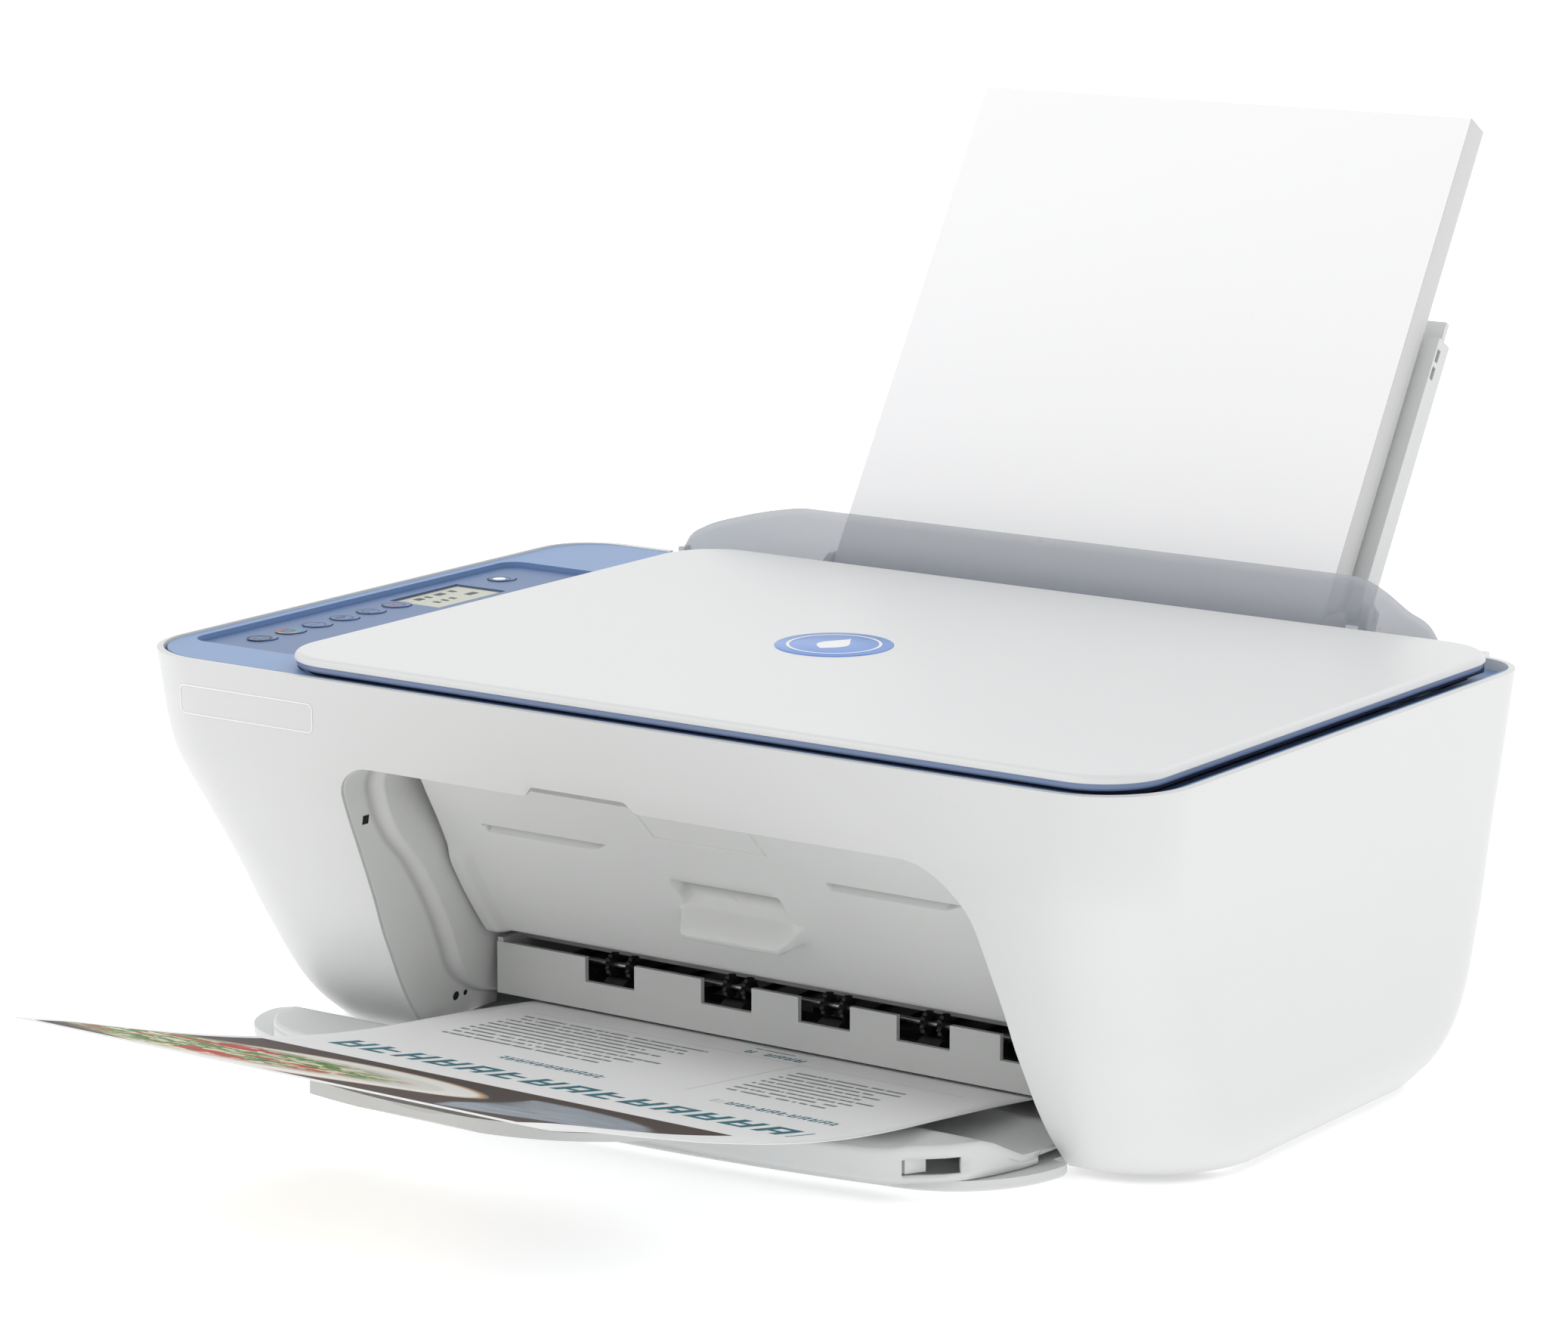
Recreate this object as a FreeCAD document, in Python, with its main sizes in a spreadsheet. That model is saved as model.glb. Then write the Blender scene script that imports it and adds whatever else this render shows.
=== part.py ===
import FreeCAD, Part
import math
import os

import Sketcher

# Desktop inkjet printer with a flat scanner on top, a rear paper stack and a front output tray.
# Frame: X to the right seen from the front, Y to the back, Z up, feet standing on Z = 0. Millimetres.

os.makedirs("parts", exist_ok=True)
DOC = FreeCAD.newDocument("printer")
SHEET = DOC.addObject("Spreadsheet::Sheet", "Dims")
NODES = []


# ---------------------------------------------------------------- sizes that carry their expression
class Size:
    """A number together with the spreadsheet expression that yields it."""

    def __init__(self, number, text):
        self.number = float(number)
        self.text = text

    def __add__(self, other):
        return Size(self.number + number_of(other), "(%s + %s)" % (self.text, text_of(other)))

    def __radd__(self, other):
        return Size(number_of(other) + self.number, "(%s + %s)" % (text_of(other), self.text))

    def __sub__(self, other):
        return Size(self.number - number_of(other), "(%s - %s)" % (self.text, text_of(other)))

    def __rsub__(self, other):
        return Size(number_of(other) - self.number, "(%s - %s)" % (text_of(other), self.text))

    def __mul__(self, other):
        return Size(self.number * number_of(other), "(%s * %s)" % (self.text, text_of(other)))

    __rmul__ = __mul__

    def __truediv__(self, other):
        return Size(self.number / number_of(other), "(%s / %s)" % (self.text, text_of(other)))

    def __neg__(self):
        return Size(-self.number, "(0 - %s)" % self.text)


def number_of(value):
    return value.number if isinstance(value, Size) else float(value)


def text_of(value):
    return value.text if isinstance(value, Size) else "(%.5f)" % value


def driving(name, value):
    """Put one driving dimension in the next row of the sheet."""
    driving.row += 1
    cell = "B%d" % driving.row
    SHEET.set("A%d" % driving.row, name.replace("_", " "))
    SHEET.set(cell, repr(float(value)))
    SHEET.setAlias(cell, name)
    return Size(value, "Dims." + name)


driving.row = 0


def bind(thing, prop, value):
    """Bind a property to a size, or set it when the value is a plain number."""
    if isinstance(value, Size):
        thing.setExpression(prop, value.text)
    else:
        thing.setExpression(prop, text_of(value))


def place(thing, x=0.0, y=0.0, z=0.0, axis=(1, 0, 0), angle=0.0):
    """Give an object its placement, with the offset bound to the sheet."""
    turn = FreeCAD.Rotation(FreeCAD.Vector(*axis), number_of(angle))
    thing.Placement = FreeCAD.Placement(FreeCAD.Vector(number_of(x), number_of(y), number_of(z)), turn)
    for letter, value in zip("xyz", (x, y, z)):
        if isinstance(value, Size):
            thing.setExpression("Placement.Base." + letter, value.text)
    return thing


# ---------------------------------------------------------------- primitives and booleans
def unique(kind):
    unique.count += 1
    return "%s%03d" % (kind, unique.count)


unique.count = 0


def block(low, high):
    """A box between two corners."""
    thing = DOC.addObject("Part::Box", unique("Block"))
    for prop, a, b in zip(("Length", "Width", "Height"), low, high):
        bind(thing, prop, b - a)
    return place(thing, *low)


TURNS = {"x": ((0, 1, 0), 90.0), "y": ((1, 0, 0), -90.0), "z": ((1, 0, 0), 0.0)}


def rod(radius, start, length, along="x"):
    """A round bar that starts at a point and runs along +X, +Y or +Z."""
    thing = DOC.addObject("Part::Cylinder", unique("Rod"))
    bind(thing, "Radius", radius)
    bind(thing, "Height", length)
    axis, angle = TURNS[along]
    return place(thing, *start, axis=axis, angle=angle)


def join(*pieces):
    thing = DOC.addObject("Part::MultiFuse", unique("Join"))
    thing.Shapes = list(pieces)
    thing.Refine = True
    return thing


def cut(base, *tools):
    thing = DOC.addObject("Part::Cut", unique("Cut"))
    thing.Base = base
    thing.Tool = tools[0] if len(tools) == 1 else join(*tools)
    thing.Refine = True
    return thing


def overlap(first, second):
    thing = DOC.addObject("Part::Common", unique("Common"))
    thing.Base = first
    thing.Tool = second
    return thing


def group(*pieces):
    """Separate solids that share one node."""
    thing = DOC.addObject("Part::Compound", unique("Group"))
    thing.Links = list(pieces)
    return thing


def node(label, thing):
    """Name a sub-part and set it in the frame, whose origin is under the middle of the loaded printer."""
    whole = place(group(thing), 0.0, FRAME_SHIFT, 0.0)
    whole.Label = label
    NODES.append(whole)
    return whole


# ---------------------------------------------------------------- sketched bodies
PLANES = {"z": "XY_Plane", "y": "XZ_Plane", "x": "YZ_Plane"}


def new_body(name):
    return DOC.addObject("PartDesign::Body", name)


def new_sketch(body, along, level):
    """A sketch square to one axis at a level along it. The XZ plane looks along -Y."""
    sketch = body.newObject("Sketcher::SketchObject", unique("Sketch"))
    plane = [item for item in body.Origin.OriginFeatures if item.Role == PLANES[along]][0]
    sketch.AttachmentSupport = [(plane, "")]
    sketch.MapMode = "FlatFace"
    offset = -level if along == "y" else level
    sketch.AttachmentOffset = FreeCAD.Placement(FreeCAD.Vector(0, 0, number_of(offset)), FreeCAD.Rotation())
    if isinstance(offset, Size):
        sketch.setExpression("AttachmentOffset.Base.z", offset.text)
    return sketch


def outline(sketch, corners):
    """Closed outline through the corners. A corner (x, y, mx, my) is reached by an arc through (mx, my)."""
    pieces = []
    count = len(corners)
    spots = [FreeCAD.Vector(number_of(c[0]), number_of(c[1]), 0) for c in corners]
    for i in range(count):
        first, last = spots[i], spots[(i + 1) % count]
        target = corners[(i + 1) % count]
        if len(target) == 4:
            middle = FreeCAD.Vector(number_of(target[2]), number_of(target[3]), 0)
            turns_left = (middle - first).cross(last - middle).z > 0
            ends = (first, last) if turns_left else (last, first)
            arc = Part.Arc(ends[0], middle, ends[1])
            index = sketch.addGeometry(arc, False)
            sketch.addConstraint(Sketcher.Constraint("Radius", index, arc.toShape().Curve.Radius))
            pieces.append((index, 1, 2) if turns_left else (index, 2, 1))
        else:
            pieces.append((sketch.addGeometry(Part.LineSegment(first, last), False), 1, 2))
    for i in range(count):
        index, start, finish = pieces[i]
        after = pieces[(i + 1) % count]
        sketch.addConstraint(Sketcher.Constraint("Coincident", index, finish, after[0], after[1]))
    for (index, start, finish), corner in zip(pieces, corners):
        for kind, value in zip(("DistanceX", "DistanceY"), corner):
            rule = Sketcher.Constraint(kind, -1, 1, index, start, number_of(value))
            number = sketch.addConstraint(rule)
            if isinstance(value, Size):
                sketch.setExpression("Constraints[%d]" % number, value.text)
    return sketch


def rounded_corners(left, right, front, back, *radii):
    """Corners of a rectangle with rounded corners: radii front-right, back-right, back-left, front-left."""
    radii = list(radii) + [radii[-1]] * (4 - len(radii))
    bend = 1.0 - math.sqrt(0.5)
    fr, br, bl, fl = radii
    return [
        (left + fl, front, left + fl * bend, front + fl * bend), (right - fr, front),
        (right, front + fr, right - fr * bend, front + fr * bend), (right, back - br),
        (right - br, back, right - br * bend, back - br * bend), (left + bl, back),
        (left, back - bl, left + bl * bend, back - bl * bend), (left, front + fl),
    ]


def prism(body, along, corners, low, high, kind="PartDesign::Pad"):
    """Add (or with kind Pocket, take away) an outline drawn square to an axis, between two levels."""
    sketch = outline(new_sketch(body, along, high if along == "y" else low), corners)
    thing = body.newObject(kind, unique("Prism"))
    thing.Profile = sketch
    bind(thing, "Length", high - low)
    thing.Reversed = kind == "PartDesign::Pocket"
    return body


def carve(body, along, corners, low, high):
    return prism(body, along, corners, low, high, "PartDesign::Pocket")


def soften(body, radius, wanted):
    """Round the edges of a body that the test picks."""
    DOC.recompute()
    tip = body.Tip
    names = ["Edge%d" % (i + 1) for i, edge in enumerate(tip.Shape.Edges) if wanted(edge)]
    thing = body.newObject("PartDesign::Fillet", unique("Round"))
    thing.Base = (tip, names)
    bind(thing, "Radius", radius)
    return body


def at_level(value, letter="z"):
    """Test for edges that lie in a plane square to one axis."""
    low, high = letter.upper() + "Min", letter.upper() + "Max"

    def test(edge):
        box = edge.BoundBox
        return abs(getattr(box, low) - number_of(value)) < 0.01 and abs(getattr(box, high) - number_of(value)) < 0.01
    return test


def plate(name, left, right, front, back, low, high, *radii):
    """A flat plate with rounded corners."""
    return prism(new_body(name), "z", rounded_corners(left, right, front, back, *radii), low, high)


def bar(name, along, corners, low, high):
    return prism(new_body(name), along, corners, low, high)


# ---------------------------------------------------------------- driving dimensions
FRAME_SHIFT = driving("frame_shift", 36.0)
GAP = driving("loose_gap", 0.3)
FIT = driving("running_fit", 0.05)
WALL = driving("case_wall", 2.4)
HALF = driving("case_half_width", 212.0)
FRONT = driving("case_front", -152.0)
BACK = driving("case_back", 116.0)
RIM = driving("rim_height", 148.0)
FOOT = driving("foot_height", 3.0)

MOUTH_TOP = driving("mouth_top", 118.5)
MOUTH_LEFT_TOP = driving("mouth_left_top", -112.5)
MOUTH_LEFT_FOOT = driving("mouth_left_foot", -129.0)
MOUTH_RIGHT = driving("mouth_right", 144.5)

LID_LEFT = driving("lid_left", -146.0)
LID_RIGHT = driving("lid_right", 205.0)
LID_FRONT = driving("lid_front", -149.0)
LID_BACK = driving("lid_back", 107.0)
LID_TOP = driving("lid_top", 154.0)
LID_THICK = driving("lid_thickness", 4.0)
LID_CORNER = driving("lid_corner", 24.0)
LID_AXIS_Y = driving("lid_axis_y", 104.0)
LID_AXIS_Z = driving("lid_axis_z", 146.0)

BEZEL_TOP = driving("bezel_top", 147.6)
BEZEL_WELL = driving("bezel_well", 144.0)
BEZEL_FOOT = driving("bezel_foot", 141.0)

PANEL_LEFT = driving("panel_left", -205.0)
PANEL_RIGHT = driving("panel_right", -151.0)
PANEL_FRONT = driving("panel_front", -125.0)
PANEL_BACK = driving("panel_back", 62.0)
PANEL_TOP = driving("panel_top", 145.6)
BUTTON_X = driving("button_x", -190.0)
BUTTON_RADIUS = driving("button_radius", 5.4)

TUB_TOP = driving("tub_top", 140.8)
TUB_FOOT = driving("tub_foot", 120.0)

HOUSE_LEFT = driving("housing_left", -168.0)
HOUSE_RIGHT = driving("housing_right", 173.0)
HOUSE_FRONT = driving("housing_front", 122.0)
HOUSE_BACK = driving("housing_back", 152.0)
HOUSE_TOP = driving("housing_top", 141.0)

LEAN = driving("stack_lean", 31.32)
PAPER_WIDE = driving("paper_width", 215.9)
PAPER_LONG = driving("paper_length", 279.4)
PAPER_LEFT = driving("paper_left", -102.45)
STACK_THICK = driving("stack_thickness", 12.0)
STACK_FOOT_Y = driving("stack_foot_y", 97.4)
STACK_FOOT_Z = driving("stack_foot_z", 84.0)

TRAY_AXIS_Y = driving("tray_axis_y", 156.3)
TRAY_AXIS_Z = driving("tray_axis_z", 147.7)
TRAY_THICK = driving("tray_thickness", 9.0)
TRAY_LONG = driving("tray_length", 110.0)
TRAY_LEFT = driving("tray_left", -108.0)
TRAY_RIGHT = driving("tray_right", 119.0)

SHIELD_Y = driving("shield_y", 121.0)
SHIELD_Z = driving("shield_z", 145.6)

PICK_Y = driving("pick_y", 94.3)
PICK_Z = driving("pick_z", 100.9)
PICK_RADIUS = driving("pick_radius", 11.0)
FEED_Y = driving("feed_y", 18.0)
FEED_Z = driving("feed_z", 20.0)
FEED_RADIUS = driving("feed_radius", 6.0)
EXIT_Y = driving("exit_y", -50.0)
EXIT_Z = driving("exit_z", 21.5)
EXIT_RADIUS = driving("exit_radius", 4.5)
STAR_Z = driving("star_z", 31.2)
STAR_RADIUS = driving("star_radius", 4.5)

DOOR_AXIS_Y = driving("door_axis_y", -60.0)
DOOR_AXIS_Z = driving("door_axis_z", 43.0)
DOOR_THICK = driving("door_thickness", 3.0)

RAIL_Y = driving("rail_y", 30.0)
RAIL_Z = driving("rail_z", 80.0)
PULLEY_X = driving("pulley_x", 178.0)
PULLEY_Y = driving("pulley_y", 47.0)
PULLEY_Z = driving("pulley_z", 83.0)
PULLEY_RADIUS = driving("pulley_radius", 5.5)

CARRIAGE_LEFT = driving("carriage_left", 88.0)
CARRIAGE_WIDE = driving("carriage_width", 92.0)

SLOPE = 0.075

STAR_SPOTS = (-72.0, -63.0, -20.0, -12.0, 22.0, 30.0, 64.0, 71.0, 106.0, 114.0)


# ---------------------------------------------------------------- outer shell
# height, half width, front, back, front corner radius, back corner radius
SHELL_SECTIONS = [
    (3.0, 192.0, -83.0, 92.0, 40.0, 36.0),
    (14.0, 197.5, -93.5, 104.0, 40.0, 34.0),
    (32.0, 199.5, -106.0, 114.0, 39.0, 32.0),
    (58.0, 201.0, -121.5, 119.0, 38.0, 30.0),
    (86.0, 203.2, -136.0, 120.5, 36.0, 28.0),
    (114.0, 207.0, -149.0, 119.0, 34.0, 26.0),
]


def shell_levels():
    """Section sizes from the foot to the rim, each row bound to the sheet."""
    rows = []
    for i, row in enumerate(SHELL_SECTIONS):
        words = ("height", "half", "front", "back", "front_corner", "back_corner")
        rows.append([driving("shell_%s_row%d" % (word, i), value) for word, value in zip(words, row)])
    rows.append([RIM, HALF, FRONT, BACK, driving("rim_front_corner", 32.0), driving("rim_back_corner", 24.0)])
    return rows


SHELL_ROWS = shell_levels()


def shell_loft(body, inset, kind):
    """Loft through rounded rectangles, drawn in by the inset."""
    sections = []
    for height, half, front, back, near, far in SHELL_ROWS:
        corners = rounded_corners(inset - half, half - inset, front + inset, back - inset,
                                  near - inset, far - inset, far - inset, near - inset)
        sections.append(outline(new_sketch(body, "z", height), corners))
    thing = body.newObject(kind, unique("Loft"))
    thing.Profile = sections[0]
    thing.Sections = sections[1:]
    return thing


def shell_core(inset):
    """The room inside the shell, drawn in by an inset, for parts that fit its tapering wall."""
    body = new_body("ShellCore")
    shell_loft(body, inset, "PartDesign::AdditiveLoft")
    return body


def mouth_tool():
    body = bar("MouthTool", "y", [
        (MOUTH_LEFT_FOOT, -1.0), (MOUTH_RIGHT, -1.0), (MOUTH_RIGHT, MOUTH_TOP), (MOUTH_LEFT_TOP, MOUTH_TOP),
    ], -170.0, -60.0)
    soften(body, 12.0, lambda e: e.BoundBox.ZMin > 118.0 and e.BoundBox.XMax < 0 and e.BoundBox.XLength < 0.1)
    soften(body, 20.0, lambda e: e.BoundBox.ZMin > 118.0 and e.BoundBox.XMin > 144.0 and e.BoundBox.XLength < 0.1)
    return body


def outer_shell():
    body = new_body("ShellBody")
    shell_loft(body, 0.0, "PartDesign::AdditiveLoft")
    shell_loft(body, WALL, "PartDesign::SubtractiveLoft")
    throat = block((HOUSE_LEFT + 3.0, 100.0, 66.0), (HOUSE_RIGHT - 3.0, 130.0, RIM + 2.0))
    inlet = block((-152.0, 90.0, 34.0), (-128.0, 130.0, 50.0))
    port = block((-118.0, 90.0, 14.0), (-104.0, 130.0, 24.0))
    name_plate = block((-184.0, -154.0, 128.5), (-122.0, FRONT + 0.5, 138.5))
    return node("outer_shell", cut(body, mouth_tool(), throat, inlet, port, name_plate))


def rear_housing():
    left, right = HOUSE_LEFT, HOUSE_RIGHT
    body = bar("HousingBody", "x", [
        (HOUSE_FRONT, 62.0), (HOUSE_BACK - 8.0, 66.0), (HOUSE_BACK, 84.0, HOUSE_BACK - 2.4, 72.0),
        (HOUSE_BACK, HOUSE_TOP), (HOUSE_FRONT + 7.0, HOUSE_TOP), (HOUSE_FRONT + 4.6, RIM), (HOUSE_FRONT, RIM),
    ], left, right)
    carve(body, "x", [
        (HOUSE_FRONT - 1.0, 65.0), (HOUSE_BACK - 10.0, 68.8), (HOUSE_BACK - 2.5, 85.0, HOUSE_BACK - 4.8, 74.0),
        (HOUSE_BACK - 2.5, RIM + 1.0), (HOUSE_FRONT - 1.0, RIM + 1.0),
    ], left + 2.5, right - 2.5)
    ears = []
    for low in (TRAY_LEFT - 4.0, TRAY_RIGHT + 0.6):
        ear = bar(unique("Ear"), "x", [
            (HOUSE_BACK - 1.0, 134.0), (TRAY_AXIS_Y + 1.0, 141.0), (TRAY_AXIS_Y + 4.4, TRAY_AXIS_Z),
            (TRAY_AXIS_Y, TRAY_AXIS_Z + 4.4), (HOUSE_BACK + 1.0, TRAY_AXIS_Z + 3.0),
            (HOUSE_BACK - 2.4, HOUSE_TOP - 1.0),
        ], low, low + 3.4)
        ears.append(ear)
    tray_hole = rod(2.0 + FIT, (TRAY_LEFT - 6.0, TRAY_AXIS_Y, TRAY_AXIS_Z), TRAY_RIGHT - TRAY_LEFT + 12.0)
    flap_hole = rod(1.6 + FIT, (HOUSE_LEFT - 2.0, SHIELD_Y + 3.0, SHIELD_Z), HOUSE_RIGHT - HOUSE_LEFT + 4.0)
    return node("rear_housing", cut(join(body, *ears), tray_hole, flap_hole))


def base_pan():
    pan = plate("PanBody", -186.0, 186.0, -57.0, 86.0, FOOT, FOOT + 3.0, 6.0, 33.0, 33.0, 6.0)
    walls = [
        block((-150.0, 60.0, FOOT + 2.0), (150.0, 62.4, FOOT + 16.0)),
        block((-150.0, -20.0, FOOT + 2.0), (-147.6, 62.0, FOOT + 24.0)),
        block((147.6, -20.0, FOOT + 2.0), (150.0, 62.0, FOOT + 24.0)),
    ]
    holes = [rod(FEED_RADIUS - 3.0 + FIT, (-152.0, FEED_Y, FEED_Z), 6.0),
             rod(FEED_RADIUS - 3.0 + FIT, (146.0, FEED_Y, FEED_Z), 6.0)]
    return node("base_pan", cut(join(pan, *walls), *holes))


def front_chin():
    body = bar("ChinBody", "z", [
        (-126.0, -61.0), (-126.0, -91.0), (-184.0, -91.0), (-192.0, -100.0, -190.5, -94.0),
        (-174.0, -124.0, -187.0, -114.0), (-8.0, -149.5, -95.0, -144.5), (106.0, -137.5, 50.0, -145.8),
        (148.5, -97.0, 137.0, -122.0), (147.5, -91.0, 148.6, -94.0), (142.0, -91.0), (142.0, -61.0),
    ], FOOT - 1.0, FOOT + 3.0)
    return node("front_chin", soften(body, 1.4, at_level(FOOT - 1.0)))


def rubber_feet():
    spots = [(x, y) for x in (-160.0, 160.0) for y in (-40.0, 55.0)]
    return node("rubber_feet", group(*[rod(8.0, (x, y, 0.0), FOOT, "z") for x, y in spots]))


# ---------------------------------------------------------------- top: bezel, panel, buttons
BUTTONS = {
    "button_copy_black": -101.5, "button_copy_color": -85.8, "button_info": -71.0, "button_wireless": -55.5,
    "button_resume": -40.3, "button_cancel": -25.3, "button_power": 38.0,
}
KNUCKLES = (-105.0, 145.0)


def top_bezel():
    body = plate("BezelBody", -HALF, HALF, FRONT, BACK, BEZEL_FOOT, BEZEL_TOP, 30.0, 22.0, 22.0, 30.0)
    carve(body, "z", rounded_corners(LID_LEFT - 2.5, LID_RIGHT + 2.0, FRONT + 4.6, BACK + 4.0, 25.0, 6.0, 6.0, 26.0),
          BEZEL_WELL, BEZEL_TOP + 1.0)
    carve(body, "z", rounded_corners(-104.0, 196.0, -124.0, 93.0, 2.0), BEZEL_FOOT - 1.0, BEZEL_WELL + 1.0)
    carve(body, "z", rounded_corners(PANEL_LEFT, PANEL_RIGHT, PANEL_FRONT, PANEL_BACK, 8.0),
          BEZEL_FOOT - 1.0, BEZEL_TOP + 1.0)
    sockets = []
    slots = []
    for x in KNUCKLES:
        for side in (x - 13.0, x + 9.0):
            sockets.append(rod(3.3, (side, LID_AXIS_Y, LID_AXIS_Z), 4.0))
            sockets.append(block((side, LID_AXIS_Y - 3.0, BEZEL_FOOT + 0.5), (side + 4.0, LID_AXIS_Y + 3.0, LID_AXIS_Z)))
        slots.append(block((x - 8.8, LID_AXIS_Y - 4.2, 138.0), (x + 8.8, LID_AXIS_Y + 4.2, 150.0)))
        slots.append(rod(1.5 + FIT, (x - 14.0, LID_AXIS_Y, LID_AXIS_Z), 28.0))
    fitted = overlap(body, shell_core(WALL + GAP))
    return node("top_bezel", cut(join(fitted, *sockets), *slots))


def control_panel():
    body = plate("PanelBody", PANEL_LEFT + GAP, PANEL_RIGHT - GAP, PANEL_FRONT + GAP, PANEL_BACK - GAP,
                 PANEL_TOP - 3.0, PANEL_TOP, 7.7)
    holes = [rod(BUTTON_RADIUS + 0.35, (BUTTON_X, y, PANEL_TOP - 5.0), 8.0, "z") for y in BUTTONS.values()]
    window = block((-198.0, -20.0, PANEL_TOP - 5.0), (-174.0, 20.0, PANEL_TOP + 1.0))
    return node("control_panel", cut(body, window, *holes))


def display_window():
    glass = block((-197.7, -19.7, PANEL_TOP - 2.6), (-174.3, 19.7, PANEL_TOP - 0.5))
    return node("display_window", glass)


def push_buttons():
    """Round keys, each with a wider flange under the panel."""
    for label, y in BUTTONS.items():
        cap = rod(BUTTON_RADIUS, (BUTTON_X, y, PANEL_TOP - 3.4), 3.8, "z")
        flange = rod(BUTTON_RADIUS + 1.2, (BUTTON_X, y, PANEL_TOP - 5.4), 2.0, "z")
        node(label, join(cap, flange))


# ---------------------------------------------------------------- scanner
def scanner_tub():
    body = plate("TubBody", -147.0, 202.0, -140.0, 97.0, TUB_FOOT, TUB_TOP, 15.0, 8.0, 4.0, 4.0)
    carve(body, "z", rounded_corners(-145.0, 200.0, -138.0, 95.0, 13.0, 6.0, 2.0, 2.0), TUB_FOOT + 2.0, TUB_TOP + 1.0)
    return node("scanner_tub", body)


def scanner_glass():
    return node("scanner_glass", plate("GlassBody", -110.0, 199.4, -130.0, 94.4, TUB_TOP - 2.8, TUB_TOP - 0.2,
                                       13.0, 6.0, 2.0, 2.0))


def scan_bar():
    body = bar("ScanBarBody", "x", [
        (-130.0, 128.0), (-30.0, 128.0), (-26.0, 122.6), (-10.0, 122.6), (-6.0, 128.0), (90.0, 128.0),
        (90.0, 136.0), (-130.0, 136.0),
    ], 176.0, 196.0)
    return node("scan_bar", cut(body, rod(2.5 + FIT, (170.0, -18.0, 126.2), 32.0)))


def scan_rail():
    return node("scan_rail", rod(2.5, (-145.0, -18.0, 126.2), 345.0))


# ---------------------------------------------------------------- lid
def lid_cover():
    body = plate("LidBody", LID_LEFT, LID_RIGHT, LID_FRONT, LID_BACK, LID_TOP - LID_THICK, LID_TOP, LID_CORNER)
    soften(body, 2.6, at_level(LID_TOP))
    return node("lid_cover", soften(body, 1.0, at_level(LID_TOP - LID_THICK)))


def lid_liner():
    top = LID_TOP - LID_THICK
    body = bar("LinerBody", "z", rounded_corners(LID_LEFT + 3.0, LID_RIGHT - 3.5, LID_FRONT + 3.0, LID_AXIS_Y - 8.0,
               21.0, 4.0, 4.0, 21.0), top - 3.0, top)
    carve(body, "z", rounded_corners(-120.0, 198.0, -132.0, 93.0, 6.0), top - 4.0, top - 1.6)
    knuckles = []
    for x in KNUCKLES:
        knuckles.append(rod(3.2, (x - 8.0, LID_AXIS_Y, LID_AXIS_Z), 16.0))
        knuckles.append(rod(1.5, (x - 12.0, LID_AXIS_Y, LID_AXIS_Z), 24.0))
        knuckles.append(block((x - 8.0, LID_AXIS_Y - 3.2, LID_AXIS_Z), (x + 8.0, LID_AXIS_Y + 2.6, top)))
        knuckles.append(block((x - 8.0, LID_AXIS_Y - 9.0, top - 2.0), (x + 8.0, LID_AXIS_Y, top)))
    return node("lid_liner", join(body, *knuckles))


def lid_pad():
    top = LID_TOP - LID_THICK
    return node("lid_pad", plate("PadBody", -118.0, 196.0, -130.0, 91.0, top - 4.0, top - 1.6, 5.0))


def lid_badge():
    return node("lid_badge", rod(21.0, (8.8, -24.8, LID_TOP), 0.3, "z"))


# ---------------------------------------------------------------- paper input
def shield_flap():
    """Flap with a low trapezoid outline on a pivot tube."""
    y = SHIELD_Y
    body = bar("ShieldBody", "y", [
        (-161.5, 147.0), (165.5, 147.0), (168.0, 150.0), (156.0, 158.8, 163.5, 154.6), (145.0, 165.6),
        (135.6, 169.0, 141.0, 168.2), (-104.0, 169.4), (-136.0, 163.2), (-154.5, 157.0),
        (-163.0, 149.2, -160.5, 153.4),
    ], y - 0.2, y + 2.0)
    arms = [block((x, y - 0.2, SHIELD_Z - 1.0), (x + 10.0, y + 4.4, 150.0)) for x in (-161.0, 154.0)]
    pivot = rod(1.6, (HOUSE_LEFT + 0.6, y + 3.0, SHIELD_Z), HOUSE_RIGHT - HOUSE_LEFT - 1.2)
    return node("shield_flap", join(body, pivot, *arms))


def input_tray():
    """Panel drawn upright about its hinge line, then leaned back."""
    wide = (TRAY_LEFT, TRAY_RIGHT)
    half = TRAY_THICK / 2.0
    panel = block((wide[0], -half, 0.0), (wide[1], half, TRAY_LONG))
    tube = rod(half, (wide[0], 0.0, 0.0), wide[1] - wide[0])
    pivot = rod(2.0, (wide[0] - 3.8, 0.0, 0.0), wide[1] - wide[0] + 7.6)
    slot = block((wide[0] + 3.6, 0.4, 14.0), (wide[1] - 1.6, 3.4, TRAY_LONG + 1.0))
    cells = [block((wide[1] - 6.0, -3.4, z), (wide[1] + 1.0, -1.0, z + 5.0)) for z in (94.0, 101.0)]
    panel = cut(join(panel, tube, pivot), slot, *cells)
    return node("input_tray", place(group(panel), 0.0, TRAY_AXIS_Y, TRAY_AXIS_Z, angle=-LEAN))


def tray_extension():
    panel = block((TRAY_LEFT + 4.0, 0.7, 28.0), (TRAY_RIGHT - 2.0, 3.1, TRAY_LONG + 8.6))
    pull = block((-16.0, 0.5, TRAY_LONG + 2.0), (27.0, 2.0, TRAY_LONG + 9.0))
    return node("tray_extension", place(group(cut(panel, pull)), 0.0, TRAY_AXIS_Y, TRAY_AXIS_Z, angle=-LEAN))


def lean_point(height, beyond):
    """Point on the line parallel to the stack's front face, a given Y distance behind it."""
    tangent = math.tan(math.radians(LEAN.number))
    return (STACK_FOOT_Y + (height - STACK_FOOT_Z) * tangent + beyond, height)


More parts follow.
